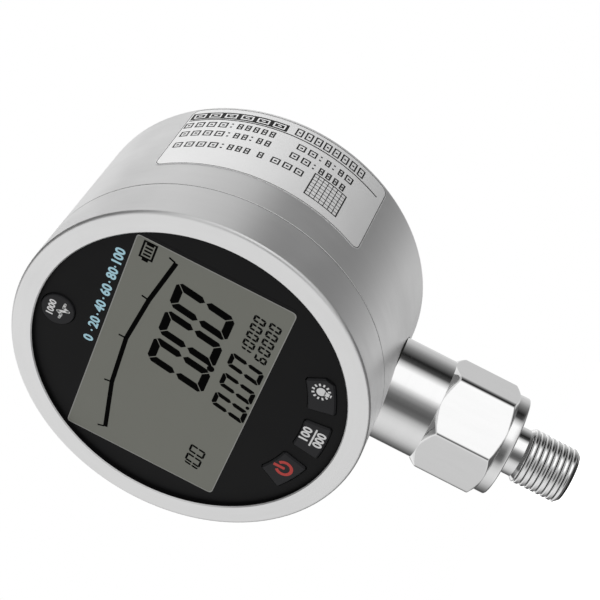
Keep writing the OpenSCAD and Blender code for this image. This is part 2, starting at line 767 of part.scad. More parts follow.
// Turned outline that chamfers the hexagon's corners at both ends
module hex_envelope() {
    end_r = hex_flats / 2 + hex_edge_play;
    corner_r = hex_flats / 2 / cos(30) + hex_edge_play;
    rotate_extrude() polygon([
        [0, hex_z], [end_r, hex_z], [corner_r, hex_z + hex_chamfer_low],
        [corner_r, hex_top_z - hex_chamfer_top], [end_r, hex_top_z], [0, hex_top_z]]);
}

// The connection: thread, relief, collar with the sealing face, spanner hexagon and plug
module process_fitting() color("lightgray") difference() {
    union() {
        rotate_extrude() polygon([
            [0, tip_z], [thread_r * tip_r_share, tip_z], [thread_r, -thread_l / 2],
            [thread_r, thread_l / 2], [neck_d / 2, neck_z], [neck_d / 2, shoulder_z],
            [collar_d / 2 - collar_round, shoulder_z], [collar_d / 2, shoulder_z + collar_round],
            [collar_d / 2, hex_z + hex_chamfer_low / 2], [sensor_d / 2, hex_z + hex_l / 2],
            [sensor_d / 2, hex_top_z + plug_l], [0, hex_top_z + plug_l]]);
        intersection() {
            translate([0, 0, hex_z]) rotate([0, 0, hex_turn])
                cylinder(d = hex_flats / cos(30), h = hex_l, $fn = 6);
            hex_envelope();
        }
    }
    translate([0, 0, tip_z - overrun]) cylinder(d = port_d, h = hex_top_z + plug_l - tip_z + 2 * overrun);
    translate([0, 0, hex_top_z + plug_l - port_mouth_l])
        cylinder(d1 = port_d, d2 = port_d * port_mouth_share, h = port_mouth_l + overrun);
}

// The steel sensor cell: rim, dished diaphragm below and pins on top
module pressure_sensor() color("gainsboro") {
    rotate_extrude() polygon([
        [0, sensor_z + sensor_dish], [sensor_d / 2 - sensor_rim * 2, sensor_z + sensor_dish],
        [sensor_d / 2 - sensor_rim * 2, sensor_z], [sensor_d / 2, sensor_z],
        [sensor_d / 2, sensor_top_z], [0, sensor_top_z]]);
    for (i = [0:pin_count - 1]) rotate([0, 0, 360 * i / pin_count])
        translate([cable_bore_d * pin_circle_share, 0, sensor_top_z - pin_root])
            cylinder(d = pin_d, h = pin_root + pin_h);
}

// The rubber ring between the fitting and the sensor
module sensor_ring() color([0.08, 0.08, 0.08]) translate([0, 0, hex_top_z + plug_l + ring_d / 2])
    rotate_extrude() translate([sensor_d * ring_mid_share, 0]) circle(d = ring_d, $fn = 32);

// The flat ribbon from the sensor to the socket on the circuit board
module sensor_ribbon() color("orange") in_case() {
    top = ribbon_y;
    bottom = sensor_top_z + pin_h - centre_h;
    bend = [-stem_depth + ribbon_bend_r, top - ribbon_bend_r];
    translate([-ribbon_w / 2, 0, 0]) rotate([0, -90, 0]) mirror([0, 0, 1]) linear_extrude(ribbon_w)
        polygon(concat(
            [[-stem_depth - ribbon_t / 2, bottom]],
            arc(bend, ribbon_bend_r + ribbon_t / 2, 180, 90),
            [[-board_back - ribbon_socket_t, top + ribbon_t / 2],
             [-board_back - ribbon_socket_t, top - ribbon_t / 2]],
            arc(bend, ribbon_bend_r - ribbon_t / 2, 90, 180),
            [[-stem_depth + ribbon_t / 2, bottom]]));
}

// The foil label on the right-hand side of the case
module case_label() color("whitesmoke") in_case() intersection() {
    ring(case_r, case_r + label_t, label_depth, label_h);
    rotate([0, 0, label_angle]) translate([0, 0, -label_depth - label_h / 2]) rotate([0, 90, 0])
        linear_extrude(case_d) round_box(label_h, case_d * sin(label_half_angle), label_corner);
}

front_bezel();
bezel_gasket();
dial_panel();
display_window();
display_glass();
backlight();
zebra_strip();
display_carrier();
power_key();
unit_key();
lamp_key();
peak_key();
power_plunger();
unit_plunger();
lamp_plunger();
peak_plunger();
key_switches();
circuit_board();
processor();
converter();
crystal();
capacitors();
battery_socket();
ribbon_socket();
pillars();
battery_holder();
holder_screws();
aaa_cells();
cell_contacts();
cell_springs();
red_lead();
black_lead();
cell_pad();
case_shell();
rear_gasket();
rear_cover();
cover_screws();
stem_seal();
stem_nut();
sensor_housing();
process_fitting();
pressure_sensor();
sensor_ring();
sensor_ribbon();
case_label();
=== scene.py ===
"""Looks of the digital pressure gauge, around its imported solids: finishes, dial artwork, label and
threaded fitting."""
import json
import math

import bmesh
import bpy
from mathutils import Matrix, Vector


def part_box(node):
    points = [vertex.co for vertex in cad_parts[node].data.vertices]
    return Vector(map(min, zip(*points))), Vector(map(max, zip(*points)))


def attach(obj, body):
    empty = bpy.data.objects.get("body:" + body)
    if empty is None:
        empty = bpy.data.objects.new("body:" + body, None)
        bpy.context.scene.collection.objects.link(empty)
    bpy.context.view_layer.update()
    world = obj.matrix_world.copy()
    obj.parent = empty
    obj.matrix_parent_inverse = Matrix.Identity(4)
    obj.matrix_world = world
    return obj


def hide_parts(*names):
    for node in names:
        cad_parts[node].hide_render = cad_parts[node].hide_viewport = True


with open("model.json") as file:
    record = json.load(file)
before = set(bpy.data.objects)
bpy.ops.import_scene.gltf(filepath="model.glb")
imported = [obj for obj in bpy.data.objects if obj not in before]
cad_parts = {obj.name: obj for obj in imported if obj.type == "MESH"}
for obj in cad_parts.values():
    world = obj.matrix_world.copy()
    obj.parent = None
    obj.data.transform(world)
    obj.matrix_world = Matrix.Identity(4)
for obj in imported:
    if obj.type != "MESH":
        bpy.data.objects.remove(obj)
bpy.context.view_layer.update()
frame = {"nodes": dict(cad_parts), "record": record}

MM = 0.001
MOUNTS = {mount["name"]: mount for mount in frame["record"]["mounts"]}
bezel_low, bezel_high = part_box("front_bezel")
DIAL = Vector(((bezel_low.x + bezel_high.x) / 2, bezel_low.y, (bezel_low.z + bezel_high.z) / 2))


def in_mm(length):
    """A length of the frame in mm, to the micrometre."""
    return round(length / MM, 3)


def front_depth(node):
    """How far a piece's front lies behind the bezel's front, in mm."""
    return in_mm(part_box(node)[0].y - bezel_low.y)


def add_to_scene(name, data):
    made = bpy.data.objects.new(name, data)
    bpy.context.scene.collection.objects.link(made)
    return made


CASE_R = in_mm(bezel_high.x - bezel_low.x) / 2
BEZEL_DEPTH = in_mm(bezel_high.y - bezel_low.y)


# Shader nodes


class Tree:
    """Short ways to place and link the nodes of one node tree."""

    def __init__(self, tree):
        self.nodes, self.links = tree.nodes, tree.links

    def put(self, value, socket):
        """Links a socket, or sets a plain value."""
        if isinstance(value, bpy.types.NodeSocket):
            self.links.new(value, socket)
        else:
            socket.default_value = value

    def node(self, kind, given=None, **settings):
        """A node's outputs; given has the values of its inputs, by name or by number."""
        made = self.nodes.new("ShaderNode" + kind)
        for setting, value in settings.items():
            setattr(made, setting, value)
        for socket, value in (given or {}).items():
            self.put(value, made.inputs[socket])
        return made.outputs

    def math(self, operation, *values):
        return self.node("Math", dict(enumerate(values)), operation=operation)[0]

    def vector(self, operation, *values):
        return self.node("VectorMath", dict(enumerate(values)), operation=operation)[0]

    def split(self, vector):
        return self.node("SeparateXYZ", {0: vector})

    def radius(self, split):
        """Distance from the Z axis."""
        return self.math("SQRT", self.math("ADD", *(self.math("MULTIPLY", split[a], split[a]) for a in "XY")))

    def mix(self, mask, first, second):
        return self.node("Mix", {"Factor": mask, "A": first, "B": second}, data_type="RGBA")["Result"]

    def between(self, value, low, high, start=0.0, end=1.0):
        """What a value becomes when start becomes low and end becomes high."""
        limits = {"From Min": start, "From Max": end, "To Min": low, "To Max": high}
        return self.node("MapRange", {"Value": value, **limits})[0]

    def soft_step(self, value, start, end):
        """A soft step from 0 to 1 between two values."""
        limits = {"From Min": start, "From Max": end}
        return self.node("MapRange", {"Value": value, **limits}, interpolation_type="SMOOTHSTEP")[0]

    def noise(self, vector, scale, detail=2.0, rough=0.5):
        given = {"Vector": vector, "Scale": scale, "Detail": detail, "Roughness": rough}
        return self.node("TexNoise", given)["Fac"]


class Group(Tree):
    """A node group with vectors and numbers as its inputs, and outputs of one kind."""

    def __init__(self, name, vectors, numbers, outputs, kind="Float"):
        self.tree = bpy.data.node_groups.new(name, "ShaderNodeTree")
        super().__init__(self.tree)
        new_socket = self.tree.interface.new_socket
        for vector in vectors:
            new_socket(vector, in_out="INPUT", socket_type="NodeSocketVector")
        for number, value in numbers.items():
            new_socket(number, in_out="INPUT", socket_type="NodeSocketFloat").default_value = value
        for output in outputs:
            new_socket(output, in_out="OUTPUT", socket_type="NodeSocket" + kind)
        self.given = self.nodes.new("NodeGroupInput").outputs
        self.out = self.nodes.new("NodeGroupOutput").inputs


def turned_grain():
    """Fine lines that run round an axis, as a lathe or a belt leaves them; Point has the axis along Z."""
    group = Group("turned_grain", ["Point"], {"Around": 3.0, "Across": 3000.0}, ["Grain", "Lines"])
    split = group.split(group.given["Point"])
    radius = group.radius(split)
    safe = group.math("MAXIMUM", radius, 1e-5)
    lines = {axis: group.math("MULTIPLY", group.math("DIVIDE", split[axis], safe), group.given["Around"])
             for axis in "XY"}
    lines["Z"] = group.math("MULTIPLY", group.math("ADD", split["Z"], radius), group.given["Across"])
    turned = group.node("CombineXYZ", lines)[0]
    group.put(group.noise(turned, 1.0, 4, 0.65), group.out["Grain"])
    group.put(group.noise(turned, 0.22, 1, 0.5), group.out["Lines"])
    return group.tree


def moulded_grain():
    """The fine bead-blasted skin of moulded plastic, with its slow change of tone."""
    group = Group("moulded_grain", ["Point"], {"Scale": 4000.0}, ["Height", "Tone"])
    point, scale = group.given["Point"], group.given["Scale"]
    group.put(group.noise(point, scale, 2, 0.6), group.out["Height"])
    group.put(group.noise(point, group.math("MULTIPLY", scale, 0.02), 3, 0.6), group.out["Tone"])
    return group.tree


# The most that the normal of a turned mesh leans round its axis where the facets close up
MESH_LEAN = 0.08


def turned_normal():
    """The normal of a turned surface, without the small lean round its axis that the mesh brings."""
    group = Group("turned_normal", ["Normal", "Point", "Middle", "Axis"], {}, ["Normal"], "Vector")
    given = group.given
    arm = group.vector("SUBTRACT", given["Point"], given["Middle"])
    around = group.vector("NORMALIZE", group.vector("CROSS_PRODUCT", given["Axis"], arm))
    lean = group.node("VectorMath", {0: given["Normal"], 1: around}, operation="DOT_PRODUCT")["Value"]
    small = group.math("LESS_THAN", group.math("ABSOLUTE", lean), MESH_LEAN)
    share = group.math("MULTIPLY", lean, small)
    part = group.node("VectorMath", {0: around, "Scale": share}, operation="SCALE")[0]
    group.put(group.vector("NORMALIZE", group.vector("SUBTRACT", given["Normal"], part)), group.out["Normal"])
    return group.tree


def handling_marks():
    """Faint smears and dust from handling: a mask of smears and a mask of specks."""
    group = Group("handling_marks", ["Point"], {}, ["Smears", "Specks"])
    point = group.given["Point"]
    group.put(group.between(group.noise(point, 60.0, 4, 0.55), 0, 1, 0.45, 0.75), group.out["Smears"])
    cells = group.node("TexVoronoi", {"Vector": point, "Scale": 700})["Distance"]
    few = group.math("GREATER_THAN", group.noise(point, 240.0, 1), 0.62)
    group.put(group.math("MULTIPLY", group.between(cells, 0, 1, 0.06, 0.03), few), group.out["Specks"])
    return group.tree


GROUPS = {make.__name__: make() for make in (turned_grain, moulded_grain, turned_normal, handling_marks)}


class Finish(Tree):
    """One material: its Principled shader, and short ways to place groups and link them."""

    def __init__(self, name, **values):
        self.material = bpy.data.materials.new(name)
        self.material.use_nodes = True
        super().__init__(self.material.node_tree)
        self.shader = self.nodes["Principled BSDF"].inputs
        for socket, value in values.items():
            self.shader[socket.replace("_", " ")].default_value = value
        self.point = self.node("TexCoord")["Object"]

    def group(self, name, **values):
        return self.node("Group", {"Point": self.point, **values}, node_tree=GROUPS[name])

    def turned(self, location, rotation):
        """The object's point, turned so that the lathe's axis lies along Z."""
        return self.node("Mapping", {"Vector": self.point, "Location": location, "Rotation": rotation})[0]

    def colour(self, mask, first, second):
        self.put(self.mix(mask, (*first, 1), (*second, 1)), self.shader["Base Color"])

    def rough(self, mask, low, high):
        self.put(self.between(mask, low, high), self.shader["Roughness"])

    def bump(self, height, depth, strength=1.0, **normal):
        given = {"Strength": strength, "Distance": depth, "Height": height, **normal}
        self.put(self.node("Bump", given)[0], self.shader["Normal"])


def grey(value):
    return (value, value, value)


# Where a lathe's axis lies: the shift and the turn that bring it to Z
CASE_AXIS = ((0, DIAL.z, 0), (math.pi / 2, 0, 0))
STEM_AXIS = ((0, 0, 0), (0, 0, 0))
# A point on the axis of a piece that is turned all over, and the axis's direction
CASE_TURNED = ((0, 0, DIAL.z), (0, 1, 0))
STEM_TURNED = ((0, 0, 0), (0, 0, 1))
# Radii between which the thread's colour turns from painted shade in its grooves to its bright crests
SHADED_GROOVE_R, UNSHADED_CREST_R = 5.9 * MM, 6.18 * MM
# Where the copper band of a cell's jacket starts, from the cell's middle
JACKET_BAND_X = 15.5 * MM


def turned_metal(name, colour, rough, axis, around=3.0, across=3000.0, depth=2e-6, turned=None):
    """Bare metal with lines round its axis; turned is given for a piece that is turned all over."""
    finish = Finish(name, Metallic=1.0)
    grain = finish.group("turned_grain", Point=finish.turned(*axis), Around=around, Across=across)
    marks = finish.group("handling_marks")
    finish.colour(grain["Lines"], [c * 0.96 for c in colour], colour)
    smeared = finish.math("MULTIPLY_ADD", marks["Smears"], 0.35, grain["Grain"])
    finish.rough(smeared, rough * 0.8, rough * 1.25)
    if turned is None:
        finish.bump(grain["Grain"], depth)
    else:
        middle, direction = turned
        whole = finish.group("turned_normal", Normal=finish.node("NewGeometry")["Normal"], Middle=middle,
                             Axis=direction)
        finish.bump(grain["Grain"], depth, Normal=whole["Normal"])
    return finish.material


def groove_shaded_metal():
    """Turned steel with painted shade in its thread grooves: dark at the roots, bright on the crests."""
    finish = Finish("threaded_steel_groove_shade", Metallic=1.0)
    grain = finish.group("turned_grain", Around=2.0, Across=4000.0)
    # Painted shade: the colour darkens towards the roots of the thread, where shade falls
    crest = finish.soft_step(finish.radius(finish.split(finish.point)), SHADED_GROOVE_R, UNSHADED_CREST_R)
    finish.colour(crest, grey(0.10), grey(0.90))
    finish.rough(grain["Grain"], 0.08, 0.13)
    finish.bump(grain["Grain"], 1e-6)
    return finish.material


def moulded_plastic(name, dark, light, rough, grain=4000.0, depth=4e-6, gloss=0.5):
    """Plastic or rubber with a fine moulded skin."""
    finish = Finish(name, Specular_IOR_Level=gloss)
    skin = finish.group("moulded_grain", Scale=grain)
    marks = finish.group("handling_marks")
    finish.colour(skin["Tone"], dark, light)
    smeared = finish.math("MULTIPLY_ADD", marks["Smears"], 0.25, skin["Tone"])
    finish.rough(smeared, rough * 0.85, min(1.0, rough * 1.15))
    finish.bump(skin["Height"], depth)
    return finish.material


def circuit_lacquer():
    """Green solder lacquer over slightly raised copper tracks."""
    finish = Finish("board_green", Coat_Weight=0.4, Coat_Roughness=0.15)
    layout = {"Scale": 420.0, "Mortar Size": 0.035, "Brick Width": 1.3, "Row Height": 0.42}
    tracks = finish.node("TexBrick", {"Vector": finish.turned(*CASE_AXIS), **layout})["Fac"]
    finish.colour(tracks, (0.012, 0.11, 0.045), (0.03, 0.20, 0.08))
    finish.rough(finish.group("moulded_grain", Scale=2500.0)["Tone"], 0.3, 0.45)
    finish.bump(tracks, 2e-5, 0.6)
    return finish.material


def cell_wrap():
    """Plain cell jackets: dark body and a copper band at one end, with no lettering."""
    finish = Finish("cell_jacket", Metallic=0.35, Coat_Weight=0.5)
    along = finish.math("ABSOLUTE", finish.split(finish.point)["X"])
    band = finish.math("GREATER_THAN", along, JACKET_BAND_X)
    finish.colour(band, (0.025, 0.026, 0.03), (0.42, 0.19, 0.07))
    finish.rough(finish.group("handling_marks")["Smears"], 0.28, 0.42)
    finish.bump(finish.group("moulded_grain", Scale=3000.0)["Height"], 3e-6)
    return finish.material


def silver_foil():
    """The label's printed metal foil: pale, satin and a little uneven."""
    finish = Finish("label_foil", Metallic=0.1)
    skin = finish.group("moulded_grain", Scale=5000.0)
    finish.colour(skin["Tone"], grey(0.84), grey(0.90))
    finish.rough(finish.group("handling_marks")["Smears"], 0.38, 0.5)
    finish.bump(skin["Height"], 4e-6)
    return finish.material


def display_grey():
    """The display's grey-green field, as it looks with the light off."""
    finish = Finish("display_cell", Specular_IOR_Level=0.3)
    skin = finish.group("moulded_grain", Scale=9000.0)
    finish.colour(skin["Tone"], (0.2205, 0.224, 0.194), (0.2275, 0.231, 0.201))
    finish.rough(finish.group("handling_marks")["Smears"], 0.35, 0.5)
    finish.bump(skin["Height"], 1e-6)
    return finish.material


def clear_pane():
    """The window pane: nearly clear, with faint smears."""
    finish = Finish("window_pane", Base_Color=(0.02, 0.02, 0.02, 1), Specular_IOR_Level=0.5)
    marks = finish.group("handling_marks")
    finish.rough(marks["Smears"], 0.04, 0.12)
    finish.put(finish.between(marks["Specks"], 0.03, 0.3), finish.shader["Alpha"])
    return finish.material


def printed_ink(name, colour, rough=0.5, gloss=0.25):
    """Screen-printed ink, slightly uneven."""
    finish = Finish(name, Specular_IOR_Level=gloss)
    skin = finish.group("moulded_grain", Scale=9000.0)
    finish.colour(skin["Height"], [c * 0.92 for c in colour], colour)
    finish.rough(skin["Tone"], rough * 0.9, rough * 1.1)
    return finish.material


# By the name of the slot that it is for; Blender puts a number after a name that the frame has already
FINISHES = {finish.name.split(".")[0]: finish for finish in (
    turned_metal("brushed_case", grey(0.90), 0.38, CASE_AXIS, 4.0, 2600.0, turned=CASE_TURNED),
    turned_metal("turned_steel", grey(0.90), 0.09, STEM_AXIS, 2.0, 4000.0, 1e-6, STEM_TURNED),
    turned_metal("bright_can", (0.80, 0.80, 0.79), 0.2, STEM_AXIS),
    turned_metal("brass_pillar", (0.80, 0.58, 0.25), 0.25, CASE_AXIS),
    turned_metal("zinc_screw", (0.70, 0.70, 0.72), 0.3, CASE_AXIS),
    turned_metal("spring_steel", (0.66, 0.65, 0.62), 0.3, STEM_AXIS),
    moulded_plastic("dial_black", (0.0065, 0.0065, 0.0068), (0.0085, 0.0085, 0.009), 0.5, 6000.0, 1e-6, 0.12),
    moulded_plastic("key_charcoal", (0.016, 0.016, 0.018), (0.021, 0.021, 0.023), 0.55, 5000.0, 3e-6, 0.25),
    moulded_plastic("seal_rubber", grey(0.010), grey(0.016), 0.75, 3000.0),
    moulded_plastic("contact_rubber", grey(0.10), grey(0.14), 0.7),
    moulded_plastic("carrier_plastic", (0.60, 0.60, 0.58), (0.68, 0.68, 0.66), 0.5),
    moulded_plastic("switch_plastic", grey(0.03), grey(0.045), 0.45),
    moulded_plastic("holder_black", grey(0.015), grey(0.022), 0.5),
    moulded_plastic("chip_black", (0.012, 0.012, 0.013), (0.02, 0.02, 0.021), 0.6),
    moulded_plastic("capacitor_sleeve", (0.01, 0.012, 0.05), (0.015, 0.018, 0.07), 0.35),
    moulded_plastic("socket_ivory", (0.62, 0.58, 0.46), (0.70, 0.66, 0.54), 0.45),
    moulded_plastic("light_guide", (0.75, 0.78, 0.80), (0.82, 0.85, 0.87), 0.25),
    moulded_plastic("lead_red", (0.45, 0.015, 0.01), (0.55, 0.02, 0.015), 0.4),
    moulded_plastic("lead_black", grey(0.012), grey(0.02), 0.4),
    moulded_plastic("foam", (0.02, 0.02, 0.021), (0.04, 0.04, 0.042), 0.95, 1800.0, 8e-5),
    moulded_plastic("ribbon_amber", (0.45, 0.16, 0.02), (0.55, 0.21, 0.03), 0.3),
    circuit_lacquer(), cell_wrap(), silver_foil(), display_grey(), clear_pane(),
)}
THREAD_STEEL_GROOVE_SHADE = groove_shaded_metal()
HEXAGON_STEEL = turned_metal("milled_hexagon", grey(0.90), 0.06, STEM_AXIS, 40.0, 600.0, 1e-6)
INK_BLACK = printed_ink("display_ink", (0.0015, 0.0015, 0.0014), 0.6, 0.02)
# Painted highlight: the pale grey of the thin bright line along the display's edge
RIM_PAINTED_HIGHLIGHT = printed_ink("display_rim_highlight", (0.40, 0.40, 0.38))
INK_WHITE = printed_ink("key_ink_white", grey(0.95))
INK_RED = printed_ink("key_ink_red", (0.62, 0.07, 0.06))
INK_BLUE = printed_ink("dial_ink_blue", (0.54, 0.87, 1.0))
INK_LABEL = printed_ink("label_ink", grey(0.012))
# Painted shadow: a near-black colour for the line at the bottom of the seam, where shade falls
SEAM_SHADOW_PAINT = printed_ink("seam_shadow", grey(0.010), 0.8, 0.1)


def dress_solids():
    """Each CAD solid gets the finish that its material slot names."""
    for node in frame["nodes"].values():
        for place in node.material_slots:
            place.material = FINISHES[place.material.name]


# Mesh helpers

# Points this close are one point, and edges and faces this small are taken out, in metres
WELD, SPECK = 1e-8, 1e-9


def add_piece(name, shape, material, body="gauge", sharp=35):
    """A closed mesh from points in metres and faces, with its normals out and its sharp edges kept."""
    points, faces = shape
    mesh = bpy.data.meshes.new(name)
    mesh.from_pydata([tuple(p) for p in points], [], faces)
    work = bmesh.new()
    work.from_mesh(mesh)
    bmesh.ops.remove_doubles(work, verts=work.verts, dist=WELD)
    bmesh.ops.dissolve_degenerate(work, edges=work.edges, dist=SPECK)
    bmesh.ops.recalc_face_normals(work, faces=work.faces)
    work.to_mesh(mesh)
    work.free()
    mesh.shade_smooth()
    mesh.set_sharp_from_angle(angle=math.radians(sharp))
    mesh.materials.append(material)
    piece = add_to_scene(name, mesh)
    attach(piece, body)
    return piece


def join(*shapes):
    points, faces = [], []
    for more_points, more_faces in shapes:
        start = len(points)
        points += more_points
        faces += [tuple(start + i for i in face) for face in more_faces]
    return points, faces


def on_dial(across, up, depth):
    """A place on the dial, all in mm: right, up and in from the bezel's front."""
    return DIAL + Vector((across, depth, up)) * MM


def prisms(outlines, front, back):
    """Points and faces of flat closed shapes between two depths on the dial."""
    points, faces = [], []
    for outline in outlines:
        start, count = len(points), len(outline)
        points += [on_dial(u, v, front) for u, v in outline] + [on_dial(u, v, back) for u, v in outline]
        faces.append(tuple(range(start, start + count)))
        faces.append(tuple(range(start + 2 * count - 1, start + count - 1, -1)))
        faces += [(start + i, start + (i + 1) % count, start + count + (i + 1) % count, start + count + i)
                  for i in range(count)]
    return points, faces


def ring_of(sections):
    """Points and faces of a closed loop of four-cornered sections."""
    count = len(sections)
    faces = [(4 * i + k, 4 * i + (k + 1) % 4, 4 * ((i + 1) % count) + (k + 1) % 4, 4 * ((i + 1) % count) + k)
             for i in range(count) for k in range(4)]
    return [point for section in sections for point in section], faces


def round_band(inner, outer, front, back, steps=360):
    """Points and faces of a ring about the dial's middle, between two radii and two depths."""
    corners = ((inner, front), (outer, front), (outer, back), (inner, back))
    return ring_of([[on_dial(r * math.cos(a), r * math.sin(a), d) for r, d in corners]
                    for a in (math.tau * i / steps for i in range(steps))])


def bar(x0, z0, x1, z1):
    return [(x0, z0), (x1, z0), (x1, z1), (x0, z1)]


def frame_bars(x0, z0, x1, z1, line):
    """Four bars round a rectangle."""
    return [bar(x0, z0, x1, z0 + line), bar(x0, z1 - line, x1, z1),
            bar(x0, z0 + line, x0 + line, z1 - line), bar(x1 - line, z0 + line, x1, z1 - line)]


def ribbon(path, width):
    """Outline of a line of one width along a path."""
    left, right = [], []
    for i, (x, z) in enumerate(path):
        before, after = path[max(i - 1, 0)], path[min(i + 1, len(path) - 1)]
        dx, dz = after[0] - before[0], after[1] - before[1]
        size = math.hypot(dx, dz)
        left.append((x - dz / size * width / 2, z + dx / size * width / 2))
        right.append((x + dz / size * width / 2, z - dx / size * width / 2))
    return left + right[::-1]


def arc_path(cx, cz, r, start, end, steps):
    return [(cx + r * math.cos(math.radians(start + (end - start) * i / steps)),
             cz + r * math.sin(math.radians(start + (end - start) * i / steps))) for i in range(steps + 1)]


def disc(cx, cz, r, steps=20):
    return arc_path(cx, cz, r, 0, 360 * (steps - 1) / steps, steps - 1)


def rounded(corners, limit, steps=6, between=30):
    """Outline of a shape from corners (x, z, radius), held inside a circle about the dial's middle."""
    bends = []
    for i, (x, z, r) in enumerate(corners):
        here = Vector((x, z))
        arms = [(Vector(corners[j % len(corners)][:2]) - here).normalized() for j in (i - 1, i + 1)]
        reach = r / math.tan(arms[0].angle(arms[1]) / 2)
        first, last = here + arms[0] * reach, here + arms[1] * reach
        bends.append([first * (1 - t) ** 2 + here * 2 * t * (1 - t) + last * t * t
                      for t in (s / steps for s in range(steps + 1))])
    outline = []
    for bend, following in zip(bends, bends[1:] + bends[:1]):
        outline += bend
        outline += [bend[-1].lerp(following[0], s / between) for s in range(1, between)]
    return [tuple(p if p.length < limit else p * limit / p.length) for p in outline]


# Numbers: seven-segment digits on the display, and printed numerals

SEGMENTS = {"0": "abcdef", "1": "bc", "6": "afgedc"}
# How much of an outer corner is cut off, as a share of the segment's line
CORNER_CUT_SHARE = 0.55
# Height of a capital as a share of the font's size, and how much bolder the print is as a share of a capital
CAPITAL_SHARE, BOLDER_SHARE = 0.73, 0.045


def segment_digit(digit, mid, width, height, line, slant, gap):
    """Outlines of one seven-segment digit about its middle."""
    cut = line * CORNER_CUT_SHARE
    half = height / 2

    def other_side(points):
        return [(width - x, z) for x, z in points]

    def other_end(points):
        return [(x, height - z) for x, z in points]

    upper_left = [(0, height - cut - gap), (cut / 2, height - cut / 2 - gap), (line, height - line - gap),
                  (line, half + line / 2 + gap), (line / 2, half + gap), (0, half + line / 2 + gap)]
    top_left = [(line + gap, height - line), (cut / 2 + gap, height - cut / 2), (cut + gap, height)]
    middle_left = [(line + gap, half - line / 2), (line / 2 + gap, half), (line + gap, half + line / 2)]
    top = top_left + other_side(top_left)[::-1]
    middle = middle_left + other_side(middle_left)[::-1]
    shapes = {
        "a": top, "b": other_side(upper_left), "c": other_side(other_end(upper_left)), "d": other_end(top),
        "e": other_end(upper_left), "f": upper_left, "g": middle,
    }
    return [[(mid[0] + x - width / 2 + (z - half) * slant, mid[1] + z - half) for x, z in shapes[segment]]
            for segment in SEGMENTS[digit]]


def segment_number(digits, mids, **size):
    return [outline for digit, mid in zip(digits, mids) for outline in segment_digit(digit, mid, **size)]


INK_T = 0.02


def printed(outlines, depth):
    """Points and faces of ink shapes on a face at one depth of the dial."""
    return prisms(outlines, depth - INK_T, depth)


def numerals(entries, depth):
    """Points and faces of printed numbers: text, height, and the middle's place across and up in mm."""
    points, faces = [], []
    for text, height, across, up in entries:
        curve = bpy.data.curves.new("numerals", "FONT")
        curve.body = text
        curve.align_x, curve.align_y = "CENTER", "CENTER"
        curve.size = height / CAPITAL_SHARE
        curve.offset = BOLDER_SHARE * height
        curve.extrude = INK_T / 2
        curve.resolution_u = 3
        holder = add_to_scene("numerals", curve)
        bpy.context.view_layer.update()
        mesh = bpy.data.meshes.new_from_object(holder)
        start = len(points)
        points += [on_dial(across + v.co.x, up + v.co.y, depth - INK_T / 2 - v.co.z) for v in mesh.vertices]
        faces += [tuple(start + i for i in p.vertices) for p in mesh.polygons]
        bpy.data.objects.remove(holder)
        bpy.data.curves.remove(curve)
    return points, faces


# Display and dial artwork, all in mm from the dial's middle, with depths from the bezel's front

PANEL_DEPTH = front_depth("dial_panel")
KEY_DEPTH = front_depth("power_key")
PRINT_T = 0.03
BORDER_DEPTH, FILM_DEPTH = PANEL_DEPTH - PRINT_T, PANEL_DEPTH - 2 * PRINT_T
OPENING_R, OPENING_CHAMFER, FILM_PLAY = 36.0, 0.25, 0.1
FILM_R = OPENING_R - FILM_PLAY
BORDER_W, BORDER_CORNER = 0.4, 1.6
DISPLAY_LEFT, DISPLAY_RIGHT, DISPLAY_LOW, DISPLAY_HIGH = -29.3, 28.5, -15.8, 20.9
# Width of the pale rim, a painted highlight along the display's edge
RIM_HIGHLIGHT_W = 0.2
# How far the lip's two faces stand in from the wall of the opening, and its play to the panel
LIP_IN, LIP_OUT, LIP_PLAY = 0.06, 0.02, 0.01


def display_area(inset):
    """The display's outline, a little inside its edge; the round opening cuts its upper corners short."""
    left, right = DISPLAY_LEFT + inset, DISPLAY_RIGHT - inset
    low, high = DISPLAY_LOW + inset, DISPLAY_HIGH - inset
    corners = [(right, high, 0.9), (right, low, 1.3), (left, low, 1.1), (left, high, 0.9)]
    return rounded(corners, FILM_R - inset)


def add_display_film():
    """The printed film on the window: its black border, the grey display and a thin pale rim round it, a
    painted highlight along the display's edge.
    """
    window = [(corner - DIAL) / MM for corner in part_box("display_window")]
    west, south = window[0].x - BORDER_W, window[0].z - BORDER_W
    east, north = window[1].x + BORDER_W, window[1].z + BORDER_W
    corners = [(x, z, BORDER_CORNER) for x, z in ((east, north), (east, south), (west, south), (west, north))]
    border = prisms([rounded(corners, FILM_R)], BORDER_DEPTH, PANEL_DEPTH)
    add_piece("film_border", border, FINISHES["dial_black"])
    film = prisms([display_area(0)], FILM_DEPTH, PANEL_DEPTH)
    add_piece("display_film", film, FINISHES["display_cell"])
    front, back = FILM_DEPTH - INK_T, FILM_DEPTH
    rim = ring_of([[on_dial(*a, front), on_dial(*b, front), on_dial(*b, back), on_dial(*a, back)]
                   for a, b in zip(display_area(0), display_area(RIM_HIGHLIGHT_W))])
    add_piece("display_rim_highlight", rim, RIM_PAINTED_HIGHLIGHT)


def add_dial_lip_and_shade():
    """A black lip that lines the wall of the bezel's opening: partly the dial's dark edge, partly painted
    shade over the wall, where shade falls in the opening.
    """
    front, back = OPENING_CHAMFER + LIP_OUT, PANEL_DEPTH - LIP_PLAY
    # Painted shade: the black lip hides the lit metal of the opening's wall
    lip = round_band(OPENING_R - LIP_IN, OPENING_R - LIP_OUT, front, back)
    add_piece("dial_lip_and_shade", lip, FINISHES["dial_black"])


